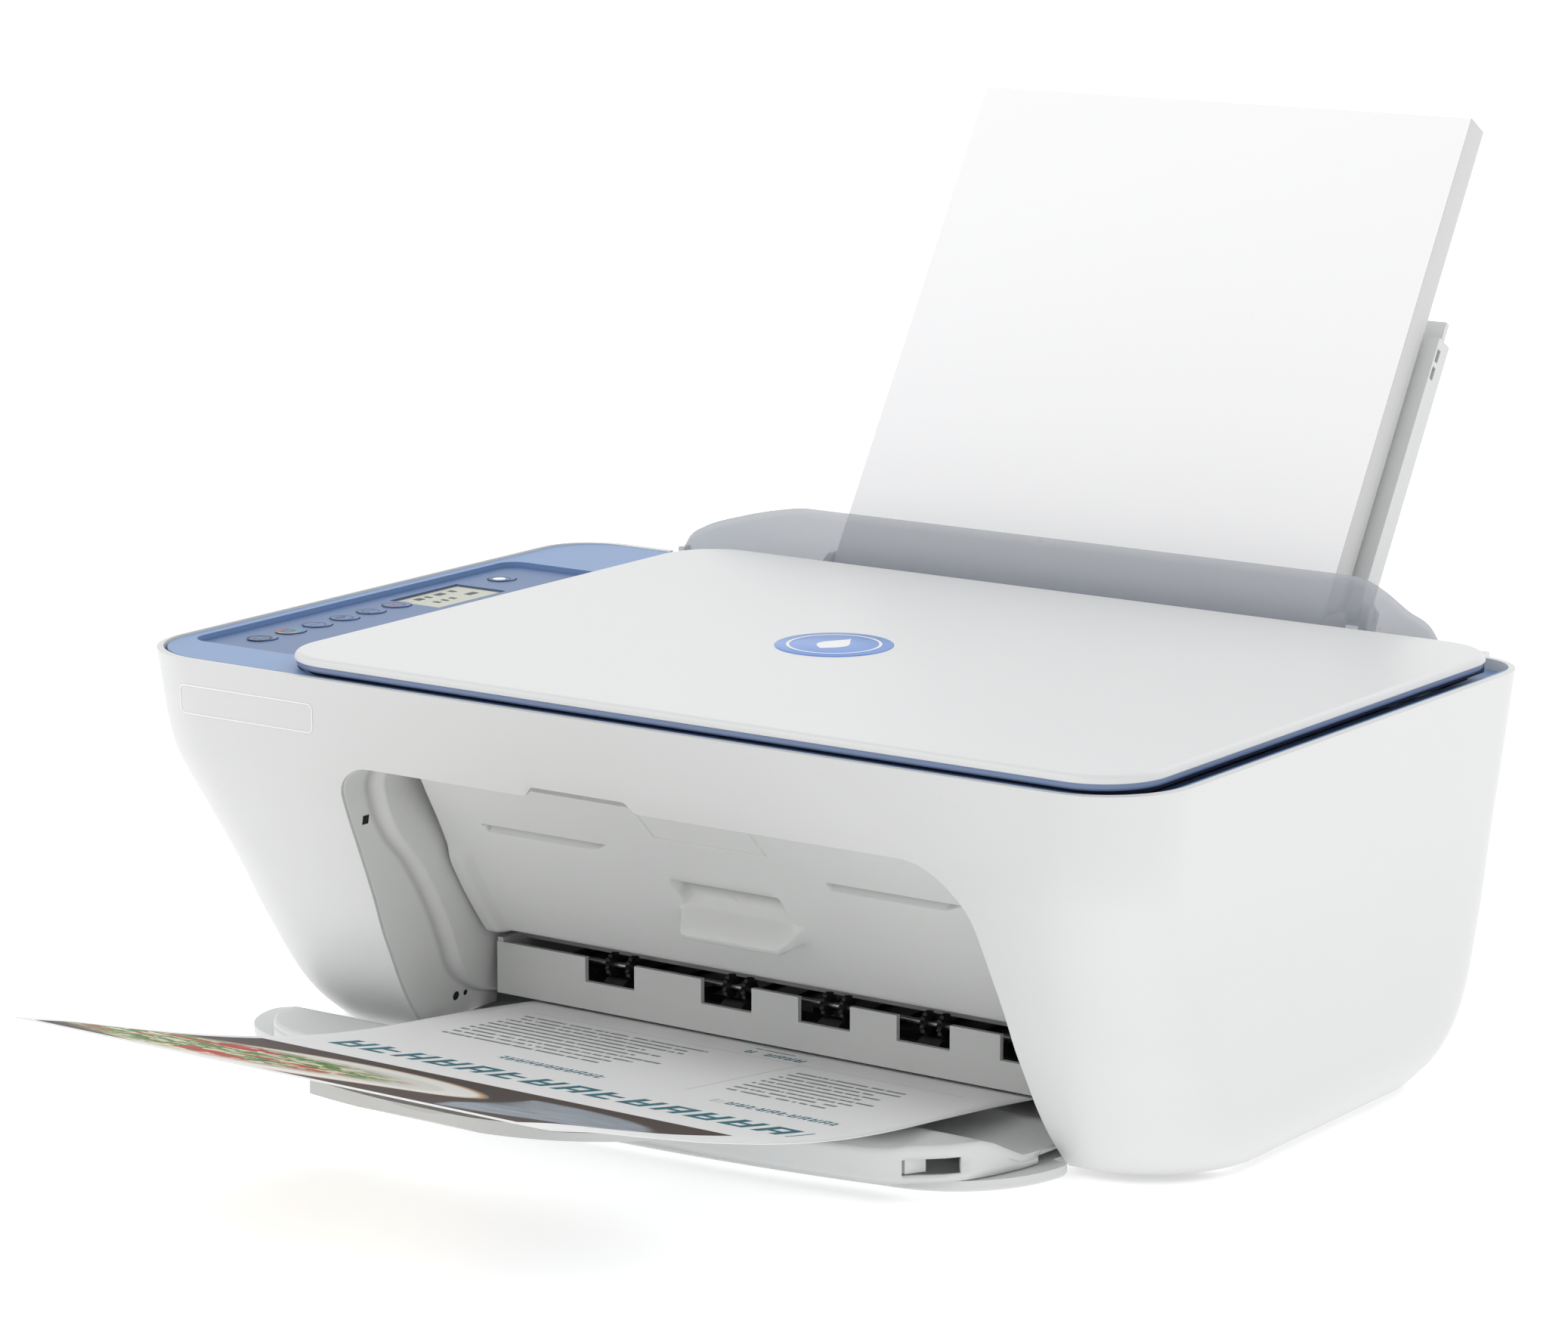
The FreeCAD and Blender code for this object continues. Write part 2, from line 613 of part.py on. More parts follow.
def width_guides():
    right = PAPER_LEFT + PAPER_WIDE
    for label, low in (("guide_left", PAPER_LEFT - 3.4), ("guide_right", right + 0.9)):
        fin = bar(unique("Guide"), "x", [
            lean_point(102.0, -6.0), lean_point(102.0, 12.0), lean_point(146.0, 12.0),
            (lean_point(150.0, 8.0)[0], 150.0), lean_point(150.0, -2.0), lean_point(146.0, -6.0),
        ], low, low + 2.5)
        node(label, fin)


def paper_rest():
    body = bar("RestBody", "x", [
        lean_point(76.0, 14.8), lean_point(76.0, 17.6), lean_point(136.0, 17.6), lean_point(136.0, 14.8),
    ], -163.0, 168.0)
    return node("paper_rest", body)


def paper_stop():
    """Ledge square to the stack under its lower end."""
    run = STACK_THICK + 0.3
    ledge = block((-104.0, 0.0, -4.5), (115.0, run, -0.5))
    return node("paper_stop", place(group(ledge), 0.0, STACK_FOOT_Y, STACK_FOOT_Z, angle=-LEAN))


def paper_stack():
    sheets = block((PAPER_LEFT, 0.0, 0.0), (PAPER_LEFT + PAPER_WIDE, STACK_THICK, PAPER_LONG))
    return node("paper_stack", place(group(sheets), 0.0, STACK_FOOT_Y, STACK_FOOT_Z, angle=-LEAN))


def pick_roller():
    node("pick_shaft", rod(3.0, (-60.0, PICK_Y, PICK_Z), 130.0))
    tyres = []
    for x in (-32.0, 26.0):
        tyres.append(cut(rod(PICK_RADIUS, (x, PICK_Y, PICK_Z), 16.0), rod(3.0, (x - 1.0, PICK_Y, PICK_Z), 18.0)))
    node("pick_tyres", group(*tyres))


# ---------------------------------------------------------------- print path
def ring(outer, inner, start, length):
    x, y, z = start
    return cut(rod(outer, start, length), rod(inner, (x - 1.0, y, z), length + 2.0))


def feed_roller():
    node("feed_shaft", rod(FEED_RADIUS - 3.0, (-151.0, FEED_Y, FEED_Z), 302.0))
    tyres = [ring(FEED_RADIUS, FEED_RADIUS - 3.0, (x, FEED_Y, FEED_Z), 24.0) for x in (-94.0, -44.0, 6.0, 56.0, 96.0)]
    node("feed_tyres", group(*tyres))


def platen():
    deck = block((-112.0, -38.0, 20.0), (124.0, 8.0, 23.0))
    ribs = [block((-104.0 + 16.0 * i, -38.0, 22.0), (-102.0 + 16.0 * i, 8.0, 25.0)) for i in range(14)]
    legs = [block((x, -30.0, FOOT + 3.0), (x + 4.0, 2.0, 21.0)) for x in (-110.0, 118.0)]
    return node("platen", join(deck, *ribs, *legs))


def exit_roller():
    node("exit_shaft", rod(2.2, (-119.0, EXIT_Y, EXIT_Z), 248.0))
    tyres = [ring(EXIT_RADIUS, 2.2, (x - 1.5, EXIT_Y, EXIT_Z), 9.0 if i % 2 == 0 else 3.0)
             for i, x in enumerate(STAR_SPOTS) if i % 2 == 0]
    node("exit_tyres", group(*tyres))


def star_shape(x, teeth=14):
    """Thin wheel with pointed teeth, bored for its shaft."""
    outer = STAR_RADIUS.number
    inner = outer - 0.7
    spots = []
    for i in range(2 * teeth + 1):
        radius = outer if i % 2 == 0 else inner
        turn = math.pi * i / teeth
        spots.append(FreeCAD.Vector(x, EXIT_Y.number + radius * math.sin(turn), STAR_Z.number + radius * math.cos(turn)))
    wheel = Part.Face(Part.makePolygon(spots)).extrude(FreeCAD.Vector(1.6, 0, 0))
    centre = FreeCAD.Vector(x - 1.0, EXIT_Y.number, STAR_Z.number)
    return wheel.cut(Part.makeCylinder(1.0 + FIT.number, 4.0, centre, FreeCAD.Vector(1, 0, 0)))


def star_wheels():
    node("star_shaft", rod(1.0, (-120.0, EXIT_Y, STAR_Z), 250.0))
    wheels = DOC.addObject("Part::Feature", "StarWheels")
    wheels.Shape = Part.makeCompound([star_shape(x) for x in STAR_SPOTS])
    wheels.Placement = FreeCAD.Placement()
    return node("star_wheels", wheels)


def exit_rail():
    """Castellated strip in front of the star wheels, with a ledge behind that carries both shafts."""
    low, notch, high = 16.5, 25.5, 34.5
    corners = [(-118.0, low), (134.0, low), (134.0, high)]
    for centre in (110.8, 68.3, 26.8, -15.2, -66.7):
        corners += [(centre + 11.0, high), (centre + 11.0, notch), (centre - 11.0, notch), (centre - 11.0, high)]
    corners += [(-118.0, high)]
    strip = bar("RailBody", "y", corners, -58.5, -56.5)
    ends = [block((x, -58.0, low), (x + 2.5, -42.0, high + 1.5)) for x in (-118.0, 127.0)]
    beam = block((-118.0, -43.6, 33.0), (129.5, -41.6, high + 6.0))
    foot = block((-118.0, -58.5, 15.2), (134.0, -45.0, 16.6))
    holes = [rod(2.2 + FIT, (-121.0, EXIT_Y, EXIT_Z), 252.0), rod(1.0, (-121.0, EXIT_Y, STAR_Z), 252.0)]
    return node("exit_rail", cut(join(strip, beam, foot, *ends), *holes))


def mouth_edge(height):
    """Left edge of the mouth at a height."""
    share = height / MOUTH_TOP.number
    return MOUTH_LEFT_FOOT.number + (MOUTH_LEFT_TOP.number - MOUTH_LEFT_FOOT.number) * share


def front_at(height):
    """Front of the case at a height, by straight interpolation between the sections."""
    rows = [(row[0], row[2]) for row in SHELL_SECTIONS] + [(RIM.number, FRONT.number)]
    for (low, near), (high, far) in zip(rows, rows[1:]):
        if low <= height <= high:
            return near + (far - near) * (height - low) / (high - low)
    return rows[0][1]


def cheek_side(clear):
    """Side outline of a cheek, held behind the case front."""
    heights = (8.0, 20.0, 40.0, 64.0, 88.0, 108.0, 116.0)
    front = [(front_at(height) + clear, height) for height in heights]
    return front + [(-44.0, 116.0), (-44.0, 8.0)]


def cheek_left():
    side = bar("CheekSide", "x", cheek_side(4.5), -140.0, -90.0)
    slab = bar("CheekSlab", "y", [
        (mouth_edge(8.0) - 2.6, 8.0), (mouth_edge(8.0) + 0.2, 8.0), (mouth_edge(116.0) + 0.2, 116.0),
        (mouth_edge(116.0) - 2.6, 116.0),
    ], -170.0, -40.0)
    ridge_side = bar("RidgeSide", "x", [
        (-76.0, 9.0), (-82.0, 26.0, -77.5, 18.0), (-100.0, 62.0, -93.0, 42.5), (-124.0, 98.0, -110.0, 84.0),
        (-128.0, 115.0, -127.0, 107.0), (-46.0, 115.0), (-46.0, 9.0),
    ], -140.0, -90.0)
    ridge = bar("RidgeSlab", "y", [
        (mouth_edge(9.0), 9.0), (mouth_edge(9.0) + 4.0, 9.0), (mouth_edge(115.0) + 4.0, 115.0), (mouth_edge(115.0), 115.0),
    ], -170.0, -40.0)
    holes = [
        block((-140.0, -139.0, 100.0), (-100.0, -135.0, 105.0)),
        rod(1.6, (-140.0, -92.0, 16.0), 30.0),
        rod(1.0, (-140.0, -86.0, 16.0), 30.0),
        rod(2.0 + FIT, (-140.0, DOOR_AXIS_Y, DOOR_AXIS_Z), 30.0),
    ]
    return node("cheek_left", cut(join(overlap(side, slab), overlap(ridge_side, ridge)), *holes))


def cheek_right():
    side = bar("CheekRight", "x", cheek_side(4.5), MOUTH_RIGHT - 0.2, MOUTH_RIGHT + 2.6)
    return node("cheek_right", cut(side, rod(2.0 + FIT, (140.0, DOOR_AXIS_Y, DOOR_AXIS_Z), 10.0)))


def door_point(along, beyond=0.0):
    """Point a distance up the door from its hinge line, and behind its outer face."""
    angle = math.radians(132.0)
    return (DOOR_AXIS_Y + (along * math.cos(angle) + beyond * math.sin(angle)),
            DOOR_AXIS_Z + (along * math.sin(angle) - beyond * math.cos(angle)))


def access_door():
    """Sloping panel with a sunk grip over a standing lip, hinged along its lower edge."""
    right = MOUTH_RIGHT.number - 3.0
    low, high = 0.0, 95.0
    body = bar("DoorBody", "x", [
        door_point(low), door_point(4.0, -2.8), door_point(62.0, 0.0) + door_point(34.0, -2.0), door_point(high),
        door_point(high, DOOR_THICK.number), door_point(low, DOOR_THICK.number),
    ], -118.0, right)
    lip = bar("LipBody", "x", [
        door_point(25.0, -1.0), door_point(31.0, -9.4), door_point(33.4, -9.6), door_point(39.0, 1.5),
        door_point(25.0, 1.5),
    ], -13.0, 34.0)
    hollow = bar("GripHollow", "x", [
        door_point(39.0, -4.0), door_point(50.5, -4.0), door_point(49.0, 2.0), door_point(39.4, 2.0),
    ], -11.5, 32.5)
    tube = rod(3.4, (-117.0, DOOR_AXIS_Y, DOOR_AXIS_Z), right + 116.0)
    pivot = rod(2.0, (-123.4, DOOR_AXIS_Y, DOOR_AXIS_Z), right + 123.4 + 4.6)
    trim = bar("DoorTrim", "y", [(-130.0, 46.5), (-114.8, 46.5), (-97.8, 120.0), (-130.0, 120.0)], -150.0, -50.0)
    notch = block((-30.0, -140.0, door_point(88.0)[1]), (14.0, -100.0, 122.0))
    return node("access_door", cut(join(body, lip, tube, pivot), hollow, trim, notch))


# ---------------------------------------------------------------- carriage
def carriage():
    left, right = CARRIAGE_LEFT, CARRIAGE_LEFT + CARRIAGE_WIDE
    shell = block((left, -30.0, 36.0), (right, 29.0, 84.0))
    bays = [block((left + 3.0, -32.0, 39.0), (left + 44.5, 24.0, 90.0)),
            block((left + 47.5, -32.0, 39.0), (right - 3.0, 24.0, 90.0))]
    hook = join(block((left + 6.0, 26.0, 92.4), (right - 6.0, 37.0, 95.0)),
                block((left + 6.0, 26.0, 78.0), (right - 6.0, 29.0, 95.0)))
    return node("carriage", cut(join(shell, hook), *bays))


def cartridges():
    left = CARRIAGE_LEFT
    for label, low in (("cartridge_black", left + 3.6), ("cartridge_color", left + 48.1)):
        body = bar(unique("Ink"), "x", [
            (-28.0, 39.6), (14.0, 39.6), (14.0, 44.0), (22.0, 52.0), (22.0, 82.0), (-10.0, 82.0), (-28.0, 70.0),
        ], low, low + 40.0)
        node(label, body)


def carriage_rail():
    beam = block((-192.0, RAIL_Y, RAIL_Z), (192.0, RAIL_Y + 6.0, RAIL_Z + 12.0))
    bracket = block((PULLEY_X - 8.0, RAIL_Y + 4.0, RAIL_Z - 1.6), (PULLEY_X + 8.0, PULLEY_Y + 8.0, RAIL_Z + 0.4))
    pin = rod(1.5, (PULLEY_X, PULLEY_Y, RAIL_Z - 1.0), 10.0, "z")
    mount = block((-PULLEY_X - 8.0, RAIL_Y + 4.0, RAIL_Z - 1.6), (-PULLEY_X + 8.0, PULLEY_Y + 8.0, RAIL_Z + 0.4))
    opening = rod(2.2, (-PULLEY_X, PULLEY_Y, RAIL_Z - 3.0), 10.0, "z")
    legs = [block((x, RAIL_Y, FOOT + 3.0), (x + 3.0, RAIL_Y + 6.0, RAIL_Z + 1.0)) for x in (-192.0, 189.0)]
    return node("carriage_rail", cut(join(beam, bracket, pin, mount, *legs), opening))


def encoder_strip():
    return node("encoder_strip", block((-186.0, 33.0, 97.0), (186.0, 33.4, 103.0)))


def carriage_drive():
    top = PULLEY_Z
    motor = join(rod(13.0, (-PULLEY_X, PULLEY_Y, 48.0), 30.0, "z"), rod(1.5, (-PULLEY_X, PULLEY_Y, 77.0), 13.0, "z"))
    node("carriage_motor", motor)
    for label, x in (("motor_pulley", -PULLEY_X), ("idler_pulley", PULLEY_X)):
        wheel = rod(PULLEY_RADIUS, (x, PULLEY_Y, top), 5.0, "z")
        node(label, cut(wheel, rod(1.5 + FIT, (x, PULLEY_Y, top - 1.0), 8.0, "z")))
    loops = []
    for radius, low, tall in ((PULLEY_RADIUS + 1.1, top + 0.5, 4.0), (PULLEY_RADIUS + FIT * 2.0, top - 1.0, 8.0)):
        loops.append(join(
            rod(radius, (-PULLEY_X, PULLEY_Y, low), tall, "z"), rod(radius, (PULLEY_X, PULLEY_Y, low), tall, "z"),
            block((-PULLEY_X, PULLEY_Y - radius, low), (PULLEY_X, PULLEY_Y + radius, low + tall)),
        ))
    node("drive_belt", cut(*loops))


# ---------------------------------------------------------------- electrics
def electrics():
    board = block((-188.0, 64.0, 22.0), (-100.0, 65.6, 88.0))
    chips = [block((-170.0, 62.4, 50.0), (-150.0, 64.0, 70.0)), block((-136.0, 62.4, 40.0), (-124.0, 64.0, 52.0))]
    node("main_board", join(board, *chips))
    inlet = cut(block((-151.6, 94.0, 34.4), (-128.4, 116.0, 49.6)), block((-149.6, 100.0, 36.4), (-130.4, 117.0, 47.6)))
    pins = [block((x, 99.0, 41.0), (x + 2.0, 112.0, 44.0)) for x in (-145.0, -137.0)]
    node("power_inlet", join(inlet, *pins))
    port = cut(block((-117.6, 90.0, 14.4), (-104.4, 105.5, 23.6)), block((-115.8, 94.0, 16.2), (-106.2, 106.0, 21.8)))
    tongue = block((-113.6, 93.0, 17.8), (-108.4, 104.0, 20.2))
    node("usb_port", join(port, tongue))


# ---------------------------------------------------------------- paper output
def channel_floor(y):
    """Height of the underside of the extender at a depth."""
    return 21.5 - (y + 215.0) * SLOPE


TONGUE_LEFT = driving("tongue_left", -76.0)
TONGUE_RIGHT = driving("tongue_right", 48.0)
LATCH_X = driving("latch_x", 117.0)
LATCH_Y = driving("latch_y", -142.0)
LATCH_TURN = driving("latch_turn", math.degrees(math.atan2(39.0, 23.0)))


def output_tray():
    """Bowed plate with raised shoulders at the front and a sloping channel for the extender."""
    plan = bar("TrayPlan", "z", [
        (-122.0, -62.0), (-122.0, -108.0), (-165.0, -108.0), (-171.0, -123.0, -172.0, -114.0),
        (-8.0, -152.5, -93.0, -145.5), (98.0, -148.5, 45.0, -152.6), (LATCH_X, LATCH_Y, 110.5, -147.0),
        (140.0, -103.0), (141.0, -96.0, 141.0, -99.5), (141.0, -62.0),
    ], 6.4, 30.0)
    side = bar("TraySide", "x", [
        (-61.0, 6.4), (-61.0, 9.6), (-104.0, 11.0), (-118.0, 18.4, -111.0, 13.0), (-134.0, 19.4, -126.0, 19.6),
        (-156.0, 16.4, -146.0, 18.6), (-156.0, 6.4),
    ], -180.0, 170.0)
    crown = bar("TrayCrown", "y", [
        (-180.0, 5.0), (170.0, 5.0), (170.0, 19.0), (100.0, 19.0), (56.0, 15.4, 84.0, 17.8), (-180.0, 13.0),
    ], -170.0, -50.0)
    body = overlap(plan, overlap(side, crown))
    channel = bar("TrayChannel", "x", [
        (-59.0, channel_floor(-59.0) - 0.4), (-170.0, channel_floor(-170.0) - 0.4), (-170.0, 40.0), (-59.0, 40.0),
    ], TONGUE_LEFT - 0.6, TONGUE_RIGHT + 0.6)
    slot = place(group(block((-0.6, -5.0, 9.0), (17.4, 6.4, 14.6))), LATCH_X, LATCH_Y, 0.0, (0, 0, 1), LATCH_TURN)
    return node("output_tray", cut(body, channel, slot))


def tray_extender():
    """Flat tongue that slides out along a shallow slope and ends in a raised lip."""
    floor = channel_floor
    body = bar("ExtenderBody", "x", [
        (-105.0, floor(-105.0)), (-217.0, floor(-217.0)), (-219.0, floor(-217.0) + 1.4), (-218.0, floor(-217.0) + 4.8),
        (-214.6, floor(-217.0) + 4.8), (-209.0, floor(-209.0) + 3.0), (-105.0, floor(-105.0) + 3.0),
    ], TONGUE_LEFT, TONGUE_RIGHT)
    ends = bar("ExtenderPlan", "z", [
        (TONGUE_LEFT, -100.0), (TONGUE_LEFT, -213.5), (-11.0, -218.0, -43.0, -217.8),
        (TONGUE_RIGHT, -182.0, 28.0, -205.0), (TONGUE_RIGHT, -100.0),
    ], 5.0, 50.0)
    return node("tray_extender", overlap(body, ends))


def tray_latch():
    """Small slide in the slanted side of the tray."""
    slide = block((0.0, 0.3, 9.4), (7.6, 5.6, 14.2))
    return node("tray_latch", place(group(slide), LATCH_X, LATCH_Y, 0.0, (0, 0, 1), LATCH_TURN))


SHEET_LINE = [(-50.0, 13.2), (-84.0, 17.6), (-112.0, 20.8), (-144.0, 24.4), (-172.0, 28.6), (-204.0, 35.2),
              (-242.0, 45.0), (-278.0, 55.8), (-303.0, 63.6), (-325.0, 69.6)]


def printed_sheet():
    """One sheet, gently curled up towards its free end."""
    thick = 0.35
    under = [(y, z) for y, z in SHEET_LINE]
    over = [(y + 0.1, z + thick) for y, z in reversed(SHEET_LINE)]
    body = bar("SheetBody", "x", under + over, PAPER_LEFT, PAPER_LEFT + PAPER_WIDE)
    return node("printed_sheet", body)


def build():
    for maker in (outer_shell, rear_housing, base_pan, front_chin, rubber_feet, top_bezel, control_panel,
                  display_window, push_buttons, scanner_tub, scanner_glass, scan_bar, scan_rail, lid_cover,
                  lid_liner, lid_pad, lid_badge, shield_flap, input_tray, tray_extension, width_guides,
                  paper_rest, paper_stop, paper_stack, pick_roller, feed_roller, platen, exit_roller, star_wheels,
                  exit_rail, cheek_left, cheek_right, access_door, carriage, cartridges, carriage_rail,
                  encoder_strip, carriage_drive, electrics, output_tray, tray_extender, tray_latch, printed_sheet):
        maker()
    DOC.recompute()


def check_and_write():
    """Refuse to write anything unless every object is sound."""
    for thing in DOC.Objects:
        if "Invalid" in thing.State or "Error" in thing.State:
            raise RuntimeError("unsound object %s %s %s" % (thing.Name, thing.Label, thing.State))
    for thing in NODES:
        if thing.Shape.isNull() or not thing.Shape.isValid() or not thing.Shape.Solids:
            raise RuntimeError("bad shape in " + thing.Label)
    for thing in NODES:
        thing.Shape.exportStep("parts/%s.step" % thing.Label)
    print("wrote", len(NODES), "nodes")


build()
check_and_write()
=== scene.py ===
"""Looks of a desktop inkjet printer with a scanner lid, a rear paper stack and a printed sheet in front."""
import logging
import math
from dataclasses import dataclass, field
from enum import Enum
from functools import reduce
from typing import Callable, Sequence

import bmesh
import bpy
import numpy as np
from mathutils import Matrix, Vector


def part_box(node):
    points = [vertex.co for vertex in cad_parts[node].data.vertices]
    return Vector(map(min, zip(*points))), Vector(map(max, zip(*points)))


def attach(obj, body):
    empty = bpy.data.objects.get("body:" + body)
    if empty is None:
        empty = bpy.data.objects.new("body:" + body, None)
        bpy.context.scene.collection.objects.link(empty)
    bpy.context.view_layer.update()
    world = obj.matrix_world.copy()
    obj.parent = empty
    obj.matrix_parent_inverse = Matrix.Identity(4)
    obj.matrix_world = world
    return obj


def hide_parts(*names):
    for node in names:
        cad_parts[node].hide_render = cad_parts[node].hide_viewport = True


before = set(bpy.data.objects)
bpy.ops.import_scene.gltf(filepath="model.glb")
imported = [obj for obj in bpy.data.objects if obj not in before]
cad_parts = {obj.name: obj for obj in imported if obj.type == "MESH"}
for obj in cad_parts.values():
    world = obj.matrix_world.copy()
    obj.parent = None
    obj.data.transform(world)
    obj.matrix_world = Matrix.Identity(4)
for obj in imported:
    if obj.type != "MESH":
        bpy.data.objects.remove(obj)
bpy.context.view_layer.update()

LOG = logging.getLogger("printer")
MM = 0.001

# The drawing frame of all sub-assemblies: millimetres, Y counted from the middle of the case. The front of
# the outer shell's box bulges about 1.7 mm past CASE_FRONT, so the pieces made here stand that much forward.
SHELL_LOW, SHELL_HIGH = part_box("outer_shell")
RIM = SHELL_HIGH.z / MM
CASE_FRONT = -152.0
SHIFT_Y = SHELL_LOW.y - CASE_FRONT * MM

Points = np.ndarray
Number = "Value | float"
Tint = Sequence[float] | bpy.types.NodeSocket
Box = tuple[float, float, float, float]


# ------------------------------------------------------------------------------------ shader arithmetic
def binary(operation: str) -> tuple[Callable, Callable]:
    """Make the plain and the reflected form of an operator that adds a Math node.

    Args:
        operation: the Math node's operation.

    Returns:
        Two methods for Value, the second with its terms swapped.
    """
    def plain(first: "Value", second: Number) -> "Value":
        """The operation in its written order."""
        return first.graph.math(operation, first, second)

    def reflected(second: "Value", first: Number) -> "Value":
        """The operation with the number first."""
        return second.graph.math(operation, first, second)
    return plain, reflected


class Value:
    """One number in a shader graph, usable in ordinary arithmetic."""

    __add__, __radd__ = binary("ADD")
    __sub__, __rsub__ = binary("SUBTRACT")
    __mul__, __rmul__ = binary("MULTIPLY")
    __truediv__, __rtruediv__ = binary("DIVIDE")

    def __init__(self, graph: "Graph", socket: bpy.types.NodeSocket) -> None:
        """Wrap a socket of a graph."""
        self.graph = graph
        self.socket = socket

    def __neg__(self) -> "Value":
        """Opposite."""
        return self.graph.math("MULTIPLY", self, -1.0)

    def __abs__(self) -> "Value":
        """Size without sign."""
        return self.graph.math("ABSOLUTE", self)

    def power(self, other: Number) -> "Value":
        """Power."""
        return self.graph.math("POWER", self, other)

    def least(self, other: Number) -> "Value":
        """Smaller of two."""
        return self.graph.math("MINIMUM", self, other)

    def most(self, other: Number) -> "Value":
        """Larger of two."""
        return self.graph.math("MAXIMUM", self, other)

    def floor(self) -> "Value":
        """Whole part."""
        return self.graph.math("FLOOR", self)

    def part(self) -> "Value":
        """Fraction after the whole part."""
        return self.graph.math("FRACT", self)

    def ramp(self, low: float, high: float, start: float = 0.0, end: float = 1.0) -> "Value":
        """Smooth step.

        Args:
            low: value where the step starts.
            high: value where the step ends.
            start: result below the step.
            end: result above the step.

        Returns:
            The stepped value, held at both ends.
        """
        settings = {"interpolation_type": "SMOOTHSTEP"}
        inputs = {"Value": self, "From Min": low, "From Max": high, "To Min": start, "To Max": end}
        return Value(self.graph, self.graph.node("ShaderNodeMapRange", settings, inputs).outputs["Result"])

    def inside(self, half: Number, soft: float) -> "Value":
        """One where the size is under a half width, falling to nothing over a soft edge."""
        gap = (half - abs(self)) / soft + 0.5
        return gap.most(0.0).least(1.0)


class Graph:
    """A material being built, with one method for every kind of node."""

    def __init__(self, name: str) -> None:
        """Start an empty material with its output."""
        self.material = bpy.data.materials.new(name)
        self.material.use_nodes = True
        self.tree = self.material.node_tree
        self.tree.nodes.clear()
        self.output = self.tree.nodes.new("ShaderNodeOutputMaterial")

    def node(self, kind: str, settings: dict | None = None, inputs: dict | None = None) -> bpy.types.Node:
        """Add a node.

        Args:
            kind: Blender's name of the node type.
            settings: attributes set before the sockets.
            inputs: socket name or index to a number, colour, Value or socket.

        Returns:
            The node.
        """
        made = self.tree.nodes.new(kind)
        for key, value in (settings or {}).items():
            setattr(made, key, value)
        for key, value in (inputs or {}).items():
            if isinstance(value, Value):
                self.tree.links.new(value.socket, made.inputs[key])
            elif isinstance(value, bpy.types.NodeSocket):
                self.tree.links.new(value, made.inputs[key])
            else:
                made.inputs[key].default_value = value
        return made

    def math(self, operation: str, *terms: Number) -> Value:
        """Add a math node over its terms."""
        made = self.node("ShaderNodeMath", {"operation": operation}, dict(enumerate(terms)))
        return Value(self, made.outputs[0])

    def place(self) -> tuple[Value, Value, Value]:
        """Object coordinates in millimetres, as three values, Y counted as on the pieces made here."""
        made = self.node("ShaderNodeTexCoord")
        split = self.node("ShaderNodeSeparateXYZ", None, {0: made.outputs["Object"]})
        x, y, z = (Value(self, split.outputs[i]) for i in range(3))
        return x / MM, (y - SHIFT_Y) / MM, z / MM

    def across(self) -> tuple[Value, Value]:
        """The piece's own UV as two values."""
        made = self.node("ShaderNodeUVMap", {"uv_map": "UVMap"})
        split = self.node("ShaderNodeSeparateXYZ", None, {0: made.outputs[0]})
        return Value(self, split.outputs[0]), Value(self, split.outputs[1])

    def spot(self, x: Number, y: Number, z: Number) -> bpy.types.NodeSocket:
        """Join three values into a vector."""
        return self.node("ShaderNodeCombineXYZ", None, {0: x, 1: y, 2: z}).outputs[0]

    def noise(self, grain: float, detail: float = 2.0, where: bpy.types.NodeSocket | None = None) -> Value:
        """Noise between nothing and one.

        Args:
            grain: size of its lumps in millimetres.
            detail: number of finer layers.
            where: vector to read it at, in metres; object coordinates when left out.

        Returns:
            The noise value.
        """
        if where is None:
            where = self.node("ShaderNodeTexCoord").outputs["Object"]
        inputs = {"Vector": where, "Scale": 1.0 / (grain * MM), "Detail": detail}
        return Value(self, self.node("ShaderNodeTexNoise", None, inputs).outputs[0])

    def mix(self, first: Tint, second: Tint, share: Number) -> bpy.types.NodeSocket:
        """Mix two colours by a share of the second."""
        first = first if isinstance(first, bpy.types.NodeSocket) else (*first[:3], 1.0)
        second = second if isinstance(second, bpy.types.NodeSocket) else (*second[:3], 1.0)
        made = self.node("ShaderNodeMix", {"data_type": "RGBA"}, {0: share, 6: first, 7: second})
        return made.outputs[2]

    def bump(self, height: Value, depth: float) -> bpy.types.NodeSocket:
        """Bump normal from a height between nothing and one, with its depth in millimetres."""
        inputs = {"Strength": 1.0, "Distance": depth * MM, "Height": height}
        return self.node("ShaderNodeBump", None, inputs).outputs[0]

    def surface(self, **inputs: object) -> bpy.types.Node:
        """Add the principled shader and join it to the output."""
        named = {key.replace("_", " "): value for key, value in inputs.items()}
        shader = self.node("ShaderNodeBsdfPrincipled", None, named)
        self.tree.links.new(shader.outputs[0], self.output.inputs[0])
        return shader


# ------------------------------------------------------------------------------------ finishes
def shaded(color: Sequence[float], share: float) -> tuple[float, ...]:
    """A colour with every channel scaled."""
    return tuple(channel * share for channel in color)


